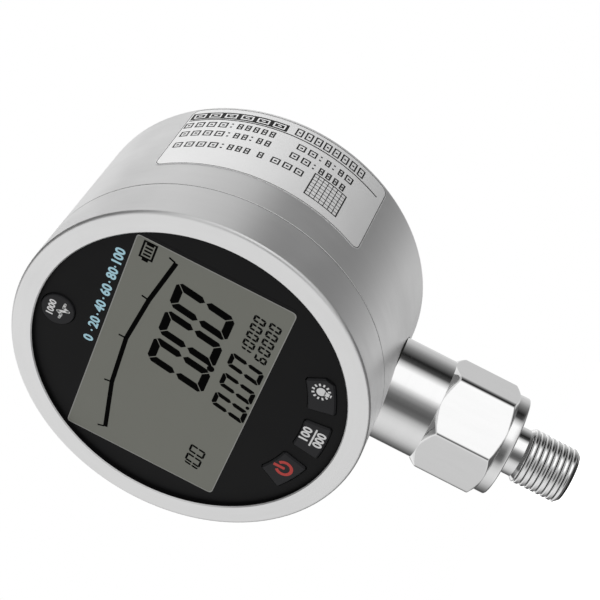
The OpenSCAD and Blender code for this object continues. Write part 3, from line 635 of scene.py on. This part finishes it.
BIG_DIGIT = dict(width=7.0, height=14.3, line=1.85, slant=0.16, gap=0.17)
SMALL_DIGIT = dict(width=4.0, height=8.3, line=1.05, slant=0.19, gap=0.11)
UNIT_DIGIT = dict(width=1.75, height=2.9, line=0.5, slant=0.16, gap=0.05)
NOTE_DIGIT = dict(width=2.3, height=3.9, line=0.5, slant=0.16, gap=0.05)
BIG_MIDS = [(1.26, 2.46), (9.41, 2.43), (17.57, 2.4)]
SMALL_MIDS = [(-3.11, -11.24), (2.82, -11.04), (8.82, -10.85)]
NOTE_MIDS = [(-25.02, -8.95), (-22.39, -8.95), (-19.49, -8.95)]
UNIT_ROWS = [("10000", -9.26), ("60000", -12.85)]
UNIT_X, UNIT_STEP = 13.2, 2.32
BIG_POINT, SMALL_POINT = disc(4.47, -4.08, 0.85), disc(-0.87, -14.79, 0.45, 12)
# The bar graph's arc is a line with bends, and each bend has its tick
ARC_BENDS = [(-25.62, 12.23), (-12.29, 14.56), (1.29, 15.17), (13.86, 13.64), (26.1, 11.2)]
ARC_W, TICK_W, TICK_START, TICK_END, TICK_LEAN = 1.05, 0.42, 0.3, 1.8, 0.02
# The battery sign: its case, the nub at its left end and its four bars
BATTERY, BATTERY_LINE = (23.33, 15.9, 27.9, 19.1), 0.45
BATTERY_NUB = (22.73, 16.8, 23.33, 18.2)
CHARGE_BAR, CHARGE_STEP, CHARGE_BARS = (24.18, 16.65, 24.67, 18.35), 0.92, 4


def add_display_figures():
    """The dark figures of the display: two readings, small digits, bar graph and battery sign."""
    figures = segment_number("000", BIG_MIDS, **BIG_DIGIT) + segment_number("000", SMALL_MIDS, **SMALL_DIGIT)
    for digits, up in UNIT_ROWS:
        mids = [(UNIT_X + UNIT_STEP * i, up) for i in range(len(digits))]
        figures += segment_number(digits, mids, **UNIT_DIGIT)
    figures += segment_number("100", NOTE_MIDS, **NOTE_DIGIT)
    figures.append(ribbon(ARC_BENDS, ARC_W))
    figures += [ribbon([(x, z + TICK_START), (x + TICK_LEAN * x, z + TICK_END)], TICK_W)
                for x, z in ARC_BENDS]
    figures += frame_bars(*BATTERY, BATTERY_LINE) + [bar(*BATTERY_NUB)]
    x0, z0, x1, z1 = CHARGE_BAR
    figures += [bar(x0 + CHARGE_STEP * i, z0, x1 + CHARGE_STEP * i, z1) for i in range(CHARGE_BARS)]
    figures += [BIG_POINT, SMALL_POINT]
    add_piece("display_figures", printed(figures, FILM_DEPTH), INK_BLACK)


# The row of plain numbers over the display, with a dot between each two
ROW_X, ROW_Z, ROW_STEP, ROW_HEIGHT = -3.6, 22.8, 4.85, 2.25
ROW_NUMBERS = ["0", "20", "40", "60", "80", "100"]
# How far each dot lies left of the middle between its numbers, because the last number is wide
DOT_SHIFTS, DOT_R = [0.05, 0.05, 0.05, 0.05, 0.45], 0.24


def add_dial_numbers():
    row = [(text, ROW_HEIGHT, ROW_X + ROW_STEP * i, ROW_Z) for i, text in enumerate(ROW_NUMBERS)]
    dots = [disc(ROW_X + ROW_STEP * (i + 0.5) - shift, ROW_Z, DOT_R, 12)
            for i, shift in enumerate(DOT_SHIFTS)]
    add_piece("dial_numbers", join(numerals(row, PANEL_DEPTH), printed(dots, PANEL_DEPTH)), INK_BLUE)


# The signs on the keys
POWER_X, POWER_Z, POWER_R, POWER_LINE = -11.5, -27.7, 1.75, 0.75
POWER_GAP_START, POWER_GAP_END = 125, 415
POWER_BAR_HALF, POWER_BAR_LOW, POWER_BAR_HIGH = 0.38, -27.9, -25.2
UNIT_BAR = (-2.0, -30.4, 3.1, -30.0)
UNIT_NUMERALS = [("100", 2.1, 0.5, -28.5), ("000", 2.1, 0.6, -31.8)]
LAMP_X, LAMP_Z, LAMP_R = 13.2, -27.2, 1.05
# The lamp's cap and foot under its bulb, from the bulb's middle
LAMP_CAP = [(-0.62, -0.8), (0.62, -0.8), (0.42, -1.9), (-0.42, -1.9)]
LAMP_FOOT = (-0.36, -2.4, 0.36, -2.1)
RAY_FIRST, RAY_STEP, RAYS, RAY_FROM, RAY_TO, RAY_W = -60, 30, 11, 1.5, 2.15, 0.42
PEAK_WAVE = [(-1.8, -0.9), (-0.7, -1.1), (-0.2, -0.1), (0.75, -2.5), (1.2, -1.15), (2.3, -1.3)]
PEAK_LINE = 0.6
PEAK_NUMERAL = ("1000", 1.6, -0.15, 1.4)


def add_power_sign():
    """A ring that is open at its top, with a bar in the opening."""
    ring = ribbon(arc_path(POWER_X, POWER_Z, POWER_R, POWER_GAP_START, POWER_GAP_END, 28), POWER_LINE)
    stroke = bar(POWER_X - POWER_BAR_HALF, POWER_BAR_LOW, POWER_X + POWER_BAR_HALF, POWER_BAR_HIGH)
    add_piece("power_sign", printed([ring, stroke], KEY_DEPTH), INK_RED, "power_button")


def add_unit_sign():
    """Two plain numbers with a bar between them."""
    sign = join(printed([bar(*UNIT_BAR)], KEY_DEPTH), numerals(UNIT_NUMERALS, KEY_DEPTH))
    add_piece("unit_sign", sign, INK_WHITE, "unit_button")


def add_lamp_sign():
    """A lamp with its cap and foot, and rays round it."""
    x0, z0, x1, z1 = LAMP_FOOT
    sign = [disc(LAMP_X, LAMP_Z, LAMP_R, 24), [(LAMP_X + x, LAMP_Z + z) for x, z in LAMP_CAP],
            bar(LAMP_X + x0, LAMP_Z + z0, LAMP_X + x1, LAMP_Z + z1)]
    for i in range(RAYS):
        a = math.radians(RAY_FIRST + RAY_STEP * i)
        ray = [(LAMP_X + r * math.cos(a), LAMP_Z + r * math.sin(a)) for r in (RAY_FROM, RAY_TO)]
        sign.append(ribbon(ray, RAY_W))
    add_piece("lamp_sign", printed(sign, KEY_DEPTH), INK_WHITE, "lamp_button")


def add_peak_sign():
    """A pulse line of round-ended strokes, with a plain number over it."""
    low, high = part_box("peak_key")
    middle = ((low.z + high.z) / 2 - DIAL.z) / MM
    wave = [(x, middle + z) for x, z in PEAK_WAVE]
    strokes = [ribbon([start, end], PEAK_LINE) for start, end in zip(wave, wave[1:])]
    strokes += [disc(x, z, PEAK_LINE / 2, 10) for x, z in wave]
    text, height, across, up = PEAK_NUMERAL
    sign = join(printed(strokes, KEY_DEPTH), numerals([(text, height, across, middle + up)], KEY_DEPTH))
    add_piece("peak_sign", sign, INK_WHITE, "peak_button")


# Label on the case: along is up round the case from the label's middle, depth is from the bezel's front

label_low, label_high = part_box("case_label")
LABEL_FRONT = front_depth("case_label")
LABEL_W, LABEL_H, LABEL_CORNER = 50.0, in_mm(label_high.y - label_low.y), 2.0
LABEL_T, LABEL_INK_T = 0.10, 0.02
LABEL_ANGLE = math.radians(4.8)
# Steps along the label, and how much of a round corner is left square where it would run out to nothing
LABEL_STEPS, CORNER_LEFT = 60, 0.02
BORDER_INSET, BORDER_LINE, BORDER_STEPS, BORDER_BEND_STEPS = 0.15, 0.16, 40, 5
# The header: a solid bar with pale empty boxes on it, and a thin line under it; the bar takes this share
# of the ink's thickness and the boxes the rest
BAR_SHARE = 0.5
HEADER_ALONG, HEADER_DEPTH, HEADER_LENGTH, HEADER_H = 24.3, 40.5, 22.7, 2.9
RULE_DEPTH, RULE_LENGTH, RULE_H = 39.9, 47.3, 0.33
PALE_ALONG, PALE_STEP, PALE_COUNT, PALE_DEPTH = 23.6, 3.72, 6, 41.0
PALE_W, PALE_H, PALE_LINE = 2.8, 1.9, 0.34
PALE_DASH_DEPTH, PALE_DASH_H = 0.8, 0.4
# A box's dash: where it starts and how long it is, as shares of the box's width
DASH_START_SHARE, DASH_LENGTH_SHARE = 0.35, 0.3
# Rows of empty boxes, as on a blank form: along, depth of the row's middle, marks and height
FORM_ROWS = [
    (-0.2, 42.3, "WWWWWWWW", 3.0), (24.4, 37.7, "BBBB:bbbbb", 2.3), (23.9, 33.7, "BBBB:bb:bb", 2.3),
    (23.5, 28.6, "BBBB:bbb b BBB", 2.3), (-2.2, 37.1, "BB:b:bB", 2.3), (-1.8, 33.1, "BB:bbbb", 2.3),
]
# Width of each mark and the gap after it: W, B and b are boxes, and a colon is two dots
MARKS = {"W": (1.75, 0.55), "B": (2.0, 0.75), "b": (1.2, 0.65), ":": (0.45, 1.1), " ": (0.6, 0.6)}
BOX_LINE, BOX_DASH_H, DOT_H, DOT_PLACES = 0.34, 0.5, 0.45, (-0.9, 0.5)
GRID_ALONG, GRID_DEPTH, GRID_SIZE, GRID_CELLS = -8.4, 22.9, 8.6, 7
GRID_EDGE_LINE, GRID_LINE = 0.3, 0.16


def on_label(along, depth, lift):
    """A place on the label, lifted off the case, all in mm."""
    angle = LABEL_ANGLE + along / CASE_R
    r = CASE_R + lift
    return on_dial(r * math.cos(angle), r * math.sin(angle), depth)


def wrapped(columns, low, high):
    """Points and faces of a thin plate round the case, from columns (along, first depth, last depth)."""
    points, faces = [], []
    for along, first, last in columns:
        points += [on_label(along, first, high), on_label(along, last, high),
                   on_label(along, last, low), on_label(along, first, low)]
    for i in range(len(columns) - 1):
        faces += [(4 * i + k, 4 * i + (k + 1) % 4, 4 * i + 4 + (k + 1) % 4, 4 * i + 4 + k) for k in range(4)]
    faces += [(0, 1, 2, 3), tuple(len(points) - 4 + k for k in range(4))]
    return points, faces


def label_columns():
    """The label's first and last depth from one end to the other, with its corners round."""
    straight = LABEL_W / 2 - LABEL_CORNER
    upper_end = [straight + LABEL_CORNER * math.sin(math.radians(a)) for a in range(0, 91, 10)]
    between = [-straight + 2 * straight * i / LABEL_STEPS for i in range(1, LABEL_STEPS)]
    columns = []
    for along in [-x for x in reversed(upper_end)] + between + upper_end:
        over = max(0.0, abs(along) - straight)
        inset = LABEL_CORNER - math.sqrt(max(0.0, LABEL_CORNER ** 2 - over ** 2))
        inset = min(inset, LABEL_CORNER - CORNER_LEFT)
        columns.append((along, LABEL_FRONT + inset, LABEL_FRONT + LABEL_H - inset))
    return columns


def label_bar(along, depth, length, width, low=0.0, high=1.0):
    """A printed bar on the label, downwards; low and high are its bottom and top as shares of the ink."""
    steps = max(1, round(length))
    return wrapped([(along - length * i / steps, depth, depth + width) for i in range(steps + 1)],
                   LABEL_T + LABEL_INK_T * low, LABEL_T + LABEL_INK_T * high)


def label_border():
    """A thin line round the label, just inside its edge."""
    half_w, half_h = LABEL_W / 2 - LABEL_CORNER, LABEL_H / 2 - LABEL_CORNER
    middle = LABEL_FRONT + LABEL_H / 2
    loops = []
    for inset in (BORDER_INSET, BORDER_INSET + BORDER_LINE):
        loop = []
        for quarter, (x, y) in enumerate(((1, 1), (-1, 1), (-1, -1), (1, -1))):
            start = 90 * quarter
            loop += arc_path(x * half_w, middle + y * half_h, LABEL_CORNER - inset, start, start + 90,
                             BORDER_BEND_STEPS)
            side = Vector((-2 * half_w * y, 0)) if x * y > 0 else Vector((0, 2 * half_h * x))
            loop += [tuple(Vector(loop[-1]) + side * i / BORDER_STEPS) for i in range(1, BORDER_STEPS)]
        loops.append(loop)
    low, high = LABEL_T, LABEL_T + LABEL_INK_T
    return ring_of([[on_label(*a, high), on_label(*b, high), on_label(*b, low), on_label(*a, low)]
                    for a, b in zip(*loops)])


def box_outline(along, depth, width, height, line, low=0.0):
    """The four bars of an empty box."""
    return [label_bar(along, depth, width, line, low),
            label_bar(along, depth + height - line, width, line, low),
            label_bar(along, depth, line, height, low),
            label_bar(along - width + line, depth, line, height, low)]


def box_dash(along, depth, width, height, low=0.0):
    return label_bar(along - width * DASH_START_SHARE, depth, width * DASH_LENGTH_SHARE, height, low)


def form_row(along, middle, marks, height):
    """A row of empty boxes with a dash in each, and colons."""
    shapes = []
    for mark in marks:
        width, gap = MARKS[mark]
        if mark == ":":
            shapes += [label_bar(along, middle + place, width, DOT_H) for place in DOT_PLACES]
        elif mark != " ":
            shapes += box_outline(along, middle - height / 2, width, height, BOX_LINE)
            shapes.append(box_dash(along, middle - BOX_DASH_H / 2, width, BOX_DASH_H))
        along -= width + gap
    return shapes


def form_grid():
    """A square of empty cells."""
    shapes = []
    for i in range(GRID_CELLS + 1):
        line = GRID_EDGE_LINE if i in (0, GRID_CELLS) else GRID_LINE
        step = (GRID_SIZE - line) * i / GRID_CELLS
        shapes.append(label_bar(GRID_ALONG, GRID_DEPTH + step, GRID_SIZE, line))
        shapes.append(label_bar(GRID_ALONG - step, GRID_DEPTH, line, GRID_SIZE))
    return shapes


def add_label():
    """The foil plate on the case, with a blank form printed on it."""
    foil = wrapped(label_columns(), 0.0, LABEL_T)
    plate = add_piece("label_plate", foil, FINISHES["label_foil"], sharp=50)
    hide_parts("case_label")

    pale = []
    for i in range(PALE_COUNT):
        along = PALE_ALONG - PALE_STEP * i
        pale += box_outline(along, PALE_DEPTH, PALE_W, PALE_H, PALE_LINE, BAR_SHARE)
        pale.append(box_dash(along, PALE_DEPTH + PALE_DASH_DEPTH, PALE_W, PALE_DASH_H, BAR_SHARE))
    add_piece("label_header", join(*pale), INK_WHITE)

    marks = [label_border(), label_bar(HEADER_ALONG, HEADER_DEPTH, HEADER_LENGTH, HEADER_H, high=BAR_SHARE),
             label_bar(HEADER_ALONG, RULE_DEPTH, RULE_LENGTH, RULE_H)]
    for row in FORM_ROWS:
        marks += form_row(*row)
    add_piece("label_print", join(*marks, *form_grid()), INK_LABEL)


# Seam between bezel and case

SEAM_W, SEAM_OUT_R, SEAM_IN_R = 0.16, CASE_R - 0.08, CASE_R - 0.3


def add_seam_shadow():
    """The dark line at the bottom of the seam: painted shadow and grime."""
    line = round_band(SEAM_IN_R, SEAM_OUT_R, BEZEL_DEPTH - SEAM_W / 2, BEZEL_DEPTH + SEAM_W / 2)
    add_piece("seam_shadow", line, SEAM_SHADOW_PAINT)


# Process fitting with its real thread, in mm, with heights from the middle of the thread

fitting_low, fitting_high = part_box("process_fitting")
THREAD_R = MOUNTS["process_connection"]["dims"]["r_mm"]
ROOT_R, PITCH, THREAD_FULLNESS = 5.75, 1.337, 5
TIP_Z, TIP_R = in_mm(fitting_low.z), 0.86 * THREAD_R
THREAD_END_Z = MOUNTS["process_connection"]["dims"]["length_mm"] / 2
CHAMFER_END_Z, NECK_Z = -THREAD_END_Z, 6.0
SHOULDER_Z = in_mm(MOUNTS["sealing_shoulder"]["pos_m"][2])
HEX_L, HEX_FLAT_R, HEX_TURN = 16.0, 12.0, math.radians(-9.5)
HEX_Z = in_mm(MOUNTS["spanner_hexagon"]["pos_m"][2]) - HEX_L / 2
HEX_TOP_Z, PLUG_Z = HEX_Z + HEX_L, in_mm(fitting_high.z)
HEX_LOW_CHAMFER, HEX_TOP_CHAMFER, HEX_PLAY, HEX_SOFT = 1.3, 2.2, 0.12, 0.22
# How far each of the hexagon's six edges is worn round, from the one at its turn
HEX_EDGES = (1.5, 0.7, 0.9, 0.8, 1.0, 0.45)
COLLAR_R, COLLAR_ROUND, COLLAR_CHAMFER = 11.95, 0.4, 0.15
NECK_R, NECK_FILLET = 5.75, 0.25
PLUG_R, PORT_R, MOUTH_R, MOUTH_L, EDGE_CHAMFER = 9.5, 1.5, 3.6, 0.8, 0.2
# Points of the thread's profile in one pitch, and the angles from a corner of the hexagon to its mesh points
PROFILE_POINTS = 16
CORNER_STEPS = (0, 0.9, 1.8, 2.7, 3.6, 4.5, 5.4, 6.4, 8.0, 11.0, 15.0, 20.0, 25.0, 30.0)


def soft_min(a, b, k):
    """The smaller of two lengths, with the corner between them rounded off."""
    share = max(0.0, 1 - abs(a - b) / k)
    return min(a, b) - share * share * k / 4


def hex_columns():
    """Directions round the stem, closer together near the hexagon's corners."""
    angles = {round(corner * 60 + side * step, 4) % 360
              for corner in range(6) for step in CORNER_STEPS for side in (1, -1)}
    return [math.radians(a) + HEX_TURN for a in sorted(angles)]


def hex_radius(angle):
    """Distance to the hexagon's side, with its corners rounded."""
    turn = (angle - HEX_TURN) % (math.pi / 3)
    first = HEX_FLAT_R / math.cos(turn - math.pi / 6)
    to_corner = min(turn, math.pi / 3 - turn)
    side_a = HEX_FLAT_R / math.cos(math.pi / 6 - to_corner)
    side_b = HEX_FLAT_R / math.cos(math.pi / 6 + to_corner)
    edge = HEX_EDGES[round((angle - HEX_TURN) / (math.pi / 3)) % 6]
    return min(first, soft_min(side_a, side_b, edge))


def hex_cap(z):
    """Radius of the turned chamfers at a height of the hexagon."""
    corner = HEX_FLAT_R / math.cos(math.pi / 6) + HEX_PLAY
    end = HEX_FLAT_R + HEX_PLAY
    low = end + (corner - end) * min(1.0, (z - HEX_Z) / HEX_LOW_CHAMFER)
    top = end + (corner - end) * min(1.0, (HEX_TOP_Z - z) / HEX_TOP_CHAMFER)
    return min(low, top)


def hex_heights():
    """Heights over the hexagon's lower end, closer together along its chamfers."""
    low = [0, 0.06, HEX_PLAY] + [HEX_PLAY + 0.1 * i for i in range(1, 14)]
    flat = [1.8, 3, 6, 9, 12, 13.2]
    top = [HEX_TOP_Z - HEX_Z - 0.1 * i for i in range(25)]
    return sorted({round(h, 3) for h in low + flat + top})


def thread_cap(z):
    """Largest radius of the threaded length at a height: tip chamfer, full thread and run-out."""
    if z < CHAMFER_END_Z:
        return TIP_R + (THREAD_R - TIP_R) * (z - TIP_Z) / (CHAMFER_END_Z - TIP_Z)
    if z > THREAD_END_Z:
        return THREAD_R + (NECK_R - THREAD_R) * (z - THREAD_END_Z) / (NECK_Z - THREAD_END_Z)
    return THREAD_R


def thread_radius(z, phase):
    """Radius of the helical thread: a wide rounded crest and a narrow root."""
    ridge = abs(1 - 2 * (phase % 1.0))
    return min(ROOT_R + (THREAD_R - ROOT_R) * (1 - (1 - ridge) ** THREAD_FULLNESS), thread_cap(z))


def round_stem(radius, angle, z):
    return Vector((radius * math.cos(angle), radius * math.sin(angle), z)) * MM


def thread_strip(columns):
    """The helix: profile points that wind up the stem; what passes an end is held at it and merged there."""
    count, profile = len(columns), PROFILE_POINTS
    turns = math.ceil((NECK_Z - TIP_Z) / PITCH) + 1
    points, faces = [], []
    for step in range((turns + 1) * count + 1):
        angle = columns[step % count]
        rise = (step // count + (angle - columns[0]) / math.tau) * PITCH
        for m in range(profile):
            z = min(max(TIP_Z - PITCH + rise + PITCH * m / profile, TIP_Z), NECK_Z)
            points.append(round_stem(thread_radius(z, m / profile), angle, z))
    for step in range(turns * count):
        for m in range(profile):
            near, far = step * profile + m, (step + 1) * profile + m
            up = 1 if m + 1 < profile else 1 + (count - 1) * profile
            faces.append((near, far, far + up, near + up))
    return points, faces


def stem_body(columns):
    """Neck, collar, hexagon and plug as one skin, then the port from the plug back down to the tip."""
    count, points, faces = len(columns), [], []

    def ring(radius, z):
        start = len(points)
        for angle in columns:
            points.append(round_stem(radius(angle) if callable(radius) else radius, angle, z))
        if start:
            before = start - count
            faces.extend((before + i, before + (i + 1) % count, start + (i + 1) % count, start + i)
                         for i in range(count))

    turned = [(NECK_R, NECK_Z), (NECK_R, SHOULDER_Z - NECK_FILLET), (NECK_R + NECK_FILLET, SHOULDER_Z)]
    turned += [(COLLAR_R - COLLAR_ROUND * (1 - math.sin(a)), SHOULDER_Z + COLLAR_ROUND * (1 - math.cos(a)))
               for a in map(math.radians, (0, 22, 45, 68, 90))]
    turned += [(COLLAR_R, HEX_Z - COLLAR_CHAMFER), (COLLAR_R - COLLAR_CHAMFER, HEX_Z)]
    for r, z in turned:
        ring(r, z)
    for h in hex_heights():
        cap = hex_cap(HEX_Z + h)
        ring(lambda angle: soft_min(hex_radius(angle), cap, HEX_SOFT), HEX_Z + h)
    plug = [(PLUG_R, HEX_TOP_Z), (PLUG_R, PLUG_Z - EDGE_CHAMFER), (PLUG_R - EDGE_CHAMFER, PLUG_Z)]
    port = [(MOUTH_R, PLUG_Z), (PORT_R, PLUG_Z - MOUTH_L), (PORT_R, TIP_Z + EDGE_CHAMFER),
            (PORT_R + EDGE_CHAMFER, TIP_Z), (TIP_R, TIP_Z)]
    for r, z in plug + port:
        ring(r, z)
    return points, faces


def add_fitting():
    """The steel fitting, with its hexagon and its thread in their own finishes."""
    columns = hex_columns()
    fitting = add_piece("fitting", join(thread_strip(columns), stem_body(columns)), FINISHES["turned_steel"],
                        sharp=38)
    fitting.data.materials.append(HEXAGON_STEEL)
    fitting.data.materials.append(THREAD_STEEL_GROOVE_SHADE)
    for face in fitting.data.polygons:
        far, height = face.center.xy.length / MM, face.center.z / MM
        if HEX_Z < height < HEX_TOP_Z and far > HEX_FLAT_R * 0.99:
            face.material_index = 1
        elif height < THREAD_END_Z and far > ROOT_R:
            face.material_index = 2
    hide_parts("process_fitting")


# Camera, light and floor

CAMERA_AT = Vector((230.415, -274.914, 57.695)) * MM
CAMERA_LOOKS = Vector((-0.62408, 0.78100, 0.02387))
CAMERA_UP = Vector((0.70328, 0.54814, 0.45271))
LENS_MM, SENSOR_MM = 94.525, 36

# What the metal mirrors, as directions in degrees from -Y towards +X, each with its linear light:
# level with the gauge, above it and below it, and then straight up and straight down
HORIZON = [
    (-151, 0.72), (-140, 0.66), (-128, 0.17), (-115, 0.07), (-103, 0.16), (-92, 0.24), (-80, 0.40),
    (-67, 0.58), (-55, 0.68), (-43, 0.74), (-31, 0.76), (-19, 0.71), (-7, 0.52), (5, 0.15), (17, 0.10),
    (29, 0.15), (41, 0.35), (52, 0.78), (58, 1.06), (66, 1.10), (90, 1.10), (101, 0.60), (111, 0.06),
    (125, 0.01), (137, 0.11), (149, 0.22), (161, 0.39), (173, 0.56), (185, 0.61), (197, 0.70),
]
ABOVE = [
    (-147, 1.05), (-90, 0.80), (-39, 0.84), (20, 0.60), (90, 0.75), (130, 0.50), (143, 0.50), (160, 0.74),
    (174, 0.88), (190, 0.95), (203, 1.00),
]
BELOW = [
    (-147, 0.56), (-128, 0.12), (-100, 0.08), (-78, 0.40), (-60, 0.76), (-39, 0.84), (20, 0.60), (90, 0.60),
    (130, 0.26), (142, 0.16), (157, 0.10), (170, 0.30), (186, 0.66), (201, 0.72),
]
OVERHEAD, UNDERFOOT = 0.12, 0.12
# Between which rises or drops of a direction each of these takes over
ABOVE_FADE, BELOW_FADE = (-0.02, 0.2), (0.23, 0.36)
OVERHEAD_FADE, UNDERFOOT_FADE = (0.67, 0.76), (0.72, 0.81)

BACKDROP = 1.25
FLOOR_Z, FLOOR_HALF = -0.6, 3.0
SOFTBOX_AT, SOFTBOX_TOWARDS = (0.5, 0.2, 0.75), (0, 0, 0.08)
SOFTBOX_SIZE, SOFTBOX_WATTS = 0.5, 4.0


def add_camera():
    """The photograph's view; it is rolled, so its up direction is given too."""
    data = bpy.data.cameras.new("camera")
    data.lens, data.sensor_width = LENS_MM, SENSOR_MM
    data.clip_start, data.clip_end = 0.01, 20
    camera = add_to_scene("camera", data)
    back = -CAMERA_LOOKS.normalized()
    right = CAMERA_UP.cross(back).normalized()
    up = back.cross(right)
    turn = Matrix((right, up, back)).transposed()
    camera.matrix_world = Matrix.Translation(CAMERA_AT) @ turn.to_4x4()
    bpy.context.scene.camera = camera


def studio_ramp(tree, share, around):
    """Light round the whole circle from a list of directions and values."""
    ramp = tree.nodes.new("ShaderNodeValToRGB")
    stops = sorted((((a + 180) % 360) / 360, v) for a, v in around)
    elements = ramp.color_ramp.elements
    elements[0].position, elements[-1].position = 0, 1
    # Both ends of the ramp get the light that lies where the circle closes
    (last, before), (first, after) = stops[-1], stops[0]
    seam = before + (after - before) * (1 - last) / (1 - last + first)
    for element in elements:
        element.color = (*grey(seam), 1)
    for position, value in stops:
        elements.new(position).color = (*grey(value), 1)
    tree.put(share, ramp.inputs[0])
    return ramp.outputs["Color"]


def add_studio():
    """A white tent with soft dark strips, which the metal mirrors; the camera itself sees plain white."""
    world = bpy.data.worlds.new("studio")
    bpy.context.scene.world = world
    world.use_nodes = True
    tree = Tree(world.node_tree)
    tree.nodes.clear()
    way = tree.split(tree.node("TexCoord")["Generated"])
    turn = tree.math("ARCTAN2", way["X"], tree.math("MULTIPLY", way["Y"], -1))
    share = tree.math("MULTIPLY_ADD", turn, 1 / math.tau, 0.5)
    rise, drop = way["Z"], tree.math("MULTIPLY", way["Z"], -1)
    tent = studio_ramp(tree, share, HORIZON)
    for height, fade, around in ((rise, ABOVE_FADE, ABOVE), (drop, BELOW_FADE, BELOW)):
        tent = tree.mix(tree.soft_step(height, *fade), tent, studio_ramp(tree, share, around))
    for height, fade, value in ((rise, OVERHEAD_FADE, OVERHEAD), (drop, UNDERFOOT_FADE, UNDERFOOT)):
        tent = tree.mix(tree.soft_step(height, *fade), tent, (*grey(value), 1))
    mirrored = tree.node("Background", {"Color": tent})[0]
    seen = tree.node("Background", {"Strength": BACKDROP})[0]
    by_camera = tree.node("LightPath")["Is Camera Ray"]
    shown = tree.node("MixShader", {"Fac": by_camera, 1: mirrored, 2: seen})[0]
    tree.put(shown, tree.nodes.new("ShaderNodeOutputWorld").inputs["Surface"])


def add_floor():
    """A plain pale floor, well below the gauge, as white as the tent behind it."""
    corners = [(x * FLOOR_HALF, y * FLOOR_HALF, FLOOR_Z) for x, y in ((-1, -1), (1, -1), (1, 1), (-1, 1))]
    mesh = bpy.data.meshes.new("floor")
    mesh.from_pydata(corners, [], [(0, 1, 2, 3)])
    pale = Finish("pale_floor", Base_Color=(*grey(0.8), 1), Roughness=0.9, Emission_Color=(*grey(1), 1),
                  Emission_Strength=BACKDROP)
    mesh.materials.append(pale.material)
    floor = add_to_scene("floor", mesh)
    floor.visible_glossy = floor.visible_diffuse = floor.visible_shadow = floor.visible_transmission = False


def add_softbox():
    """A square soft light over the label's side; the metal doesn't mirror it."""
    data = bpy.data.lights.new("over_the_label", "AREA")
    data.size, data.energy = SOFTBOX_SIZE, SOFTBOX_WATTS
    lamp = add_to_scene("over_the_label", data)
    lamp.location = SOFTBOX_AT
    lamp.rotation_euler = (Vector(SOFTBOX_TOWARDS) - lamp.location).to_track_quat("-Z", "Y").to_euler()
    lamp.visible_glossy = False


dress_solids()
add_display_film()
add_dial_lip_and_shade()
add_display_figures()
add_dial_numbers()
add_power_sign()
add_unit_sign()
add_lamp_sign()
add_peak_sign()
add_label()
add_seam_shadow()
add_fitting()

bpy.context.scene.view_settings.view_transform = "Standard"
add_camera()
add_studio()
add_floor()
add_softbox()
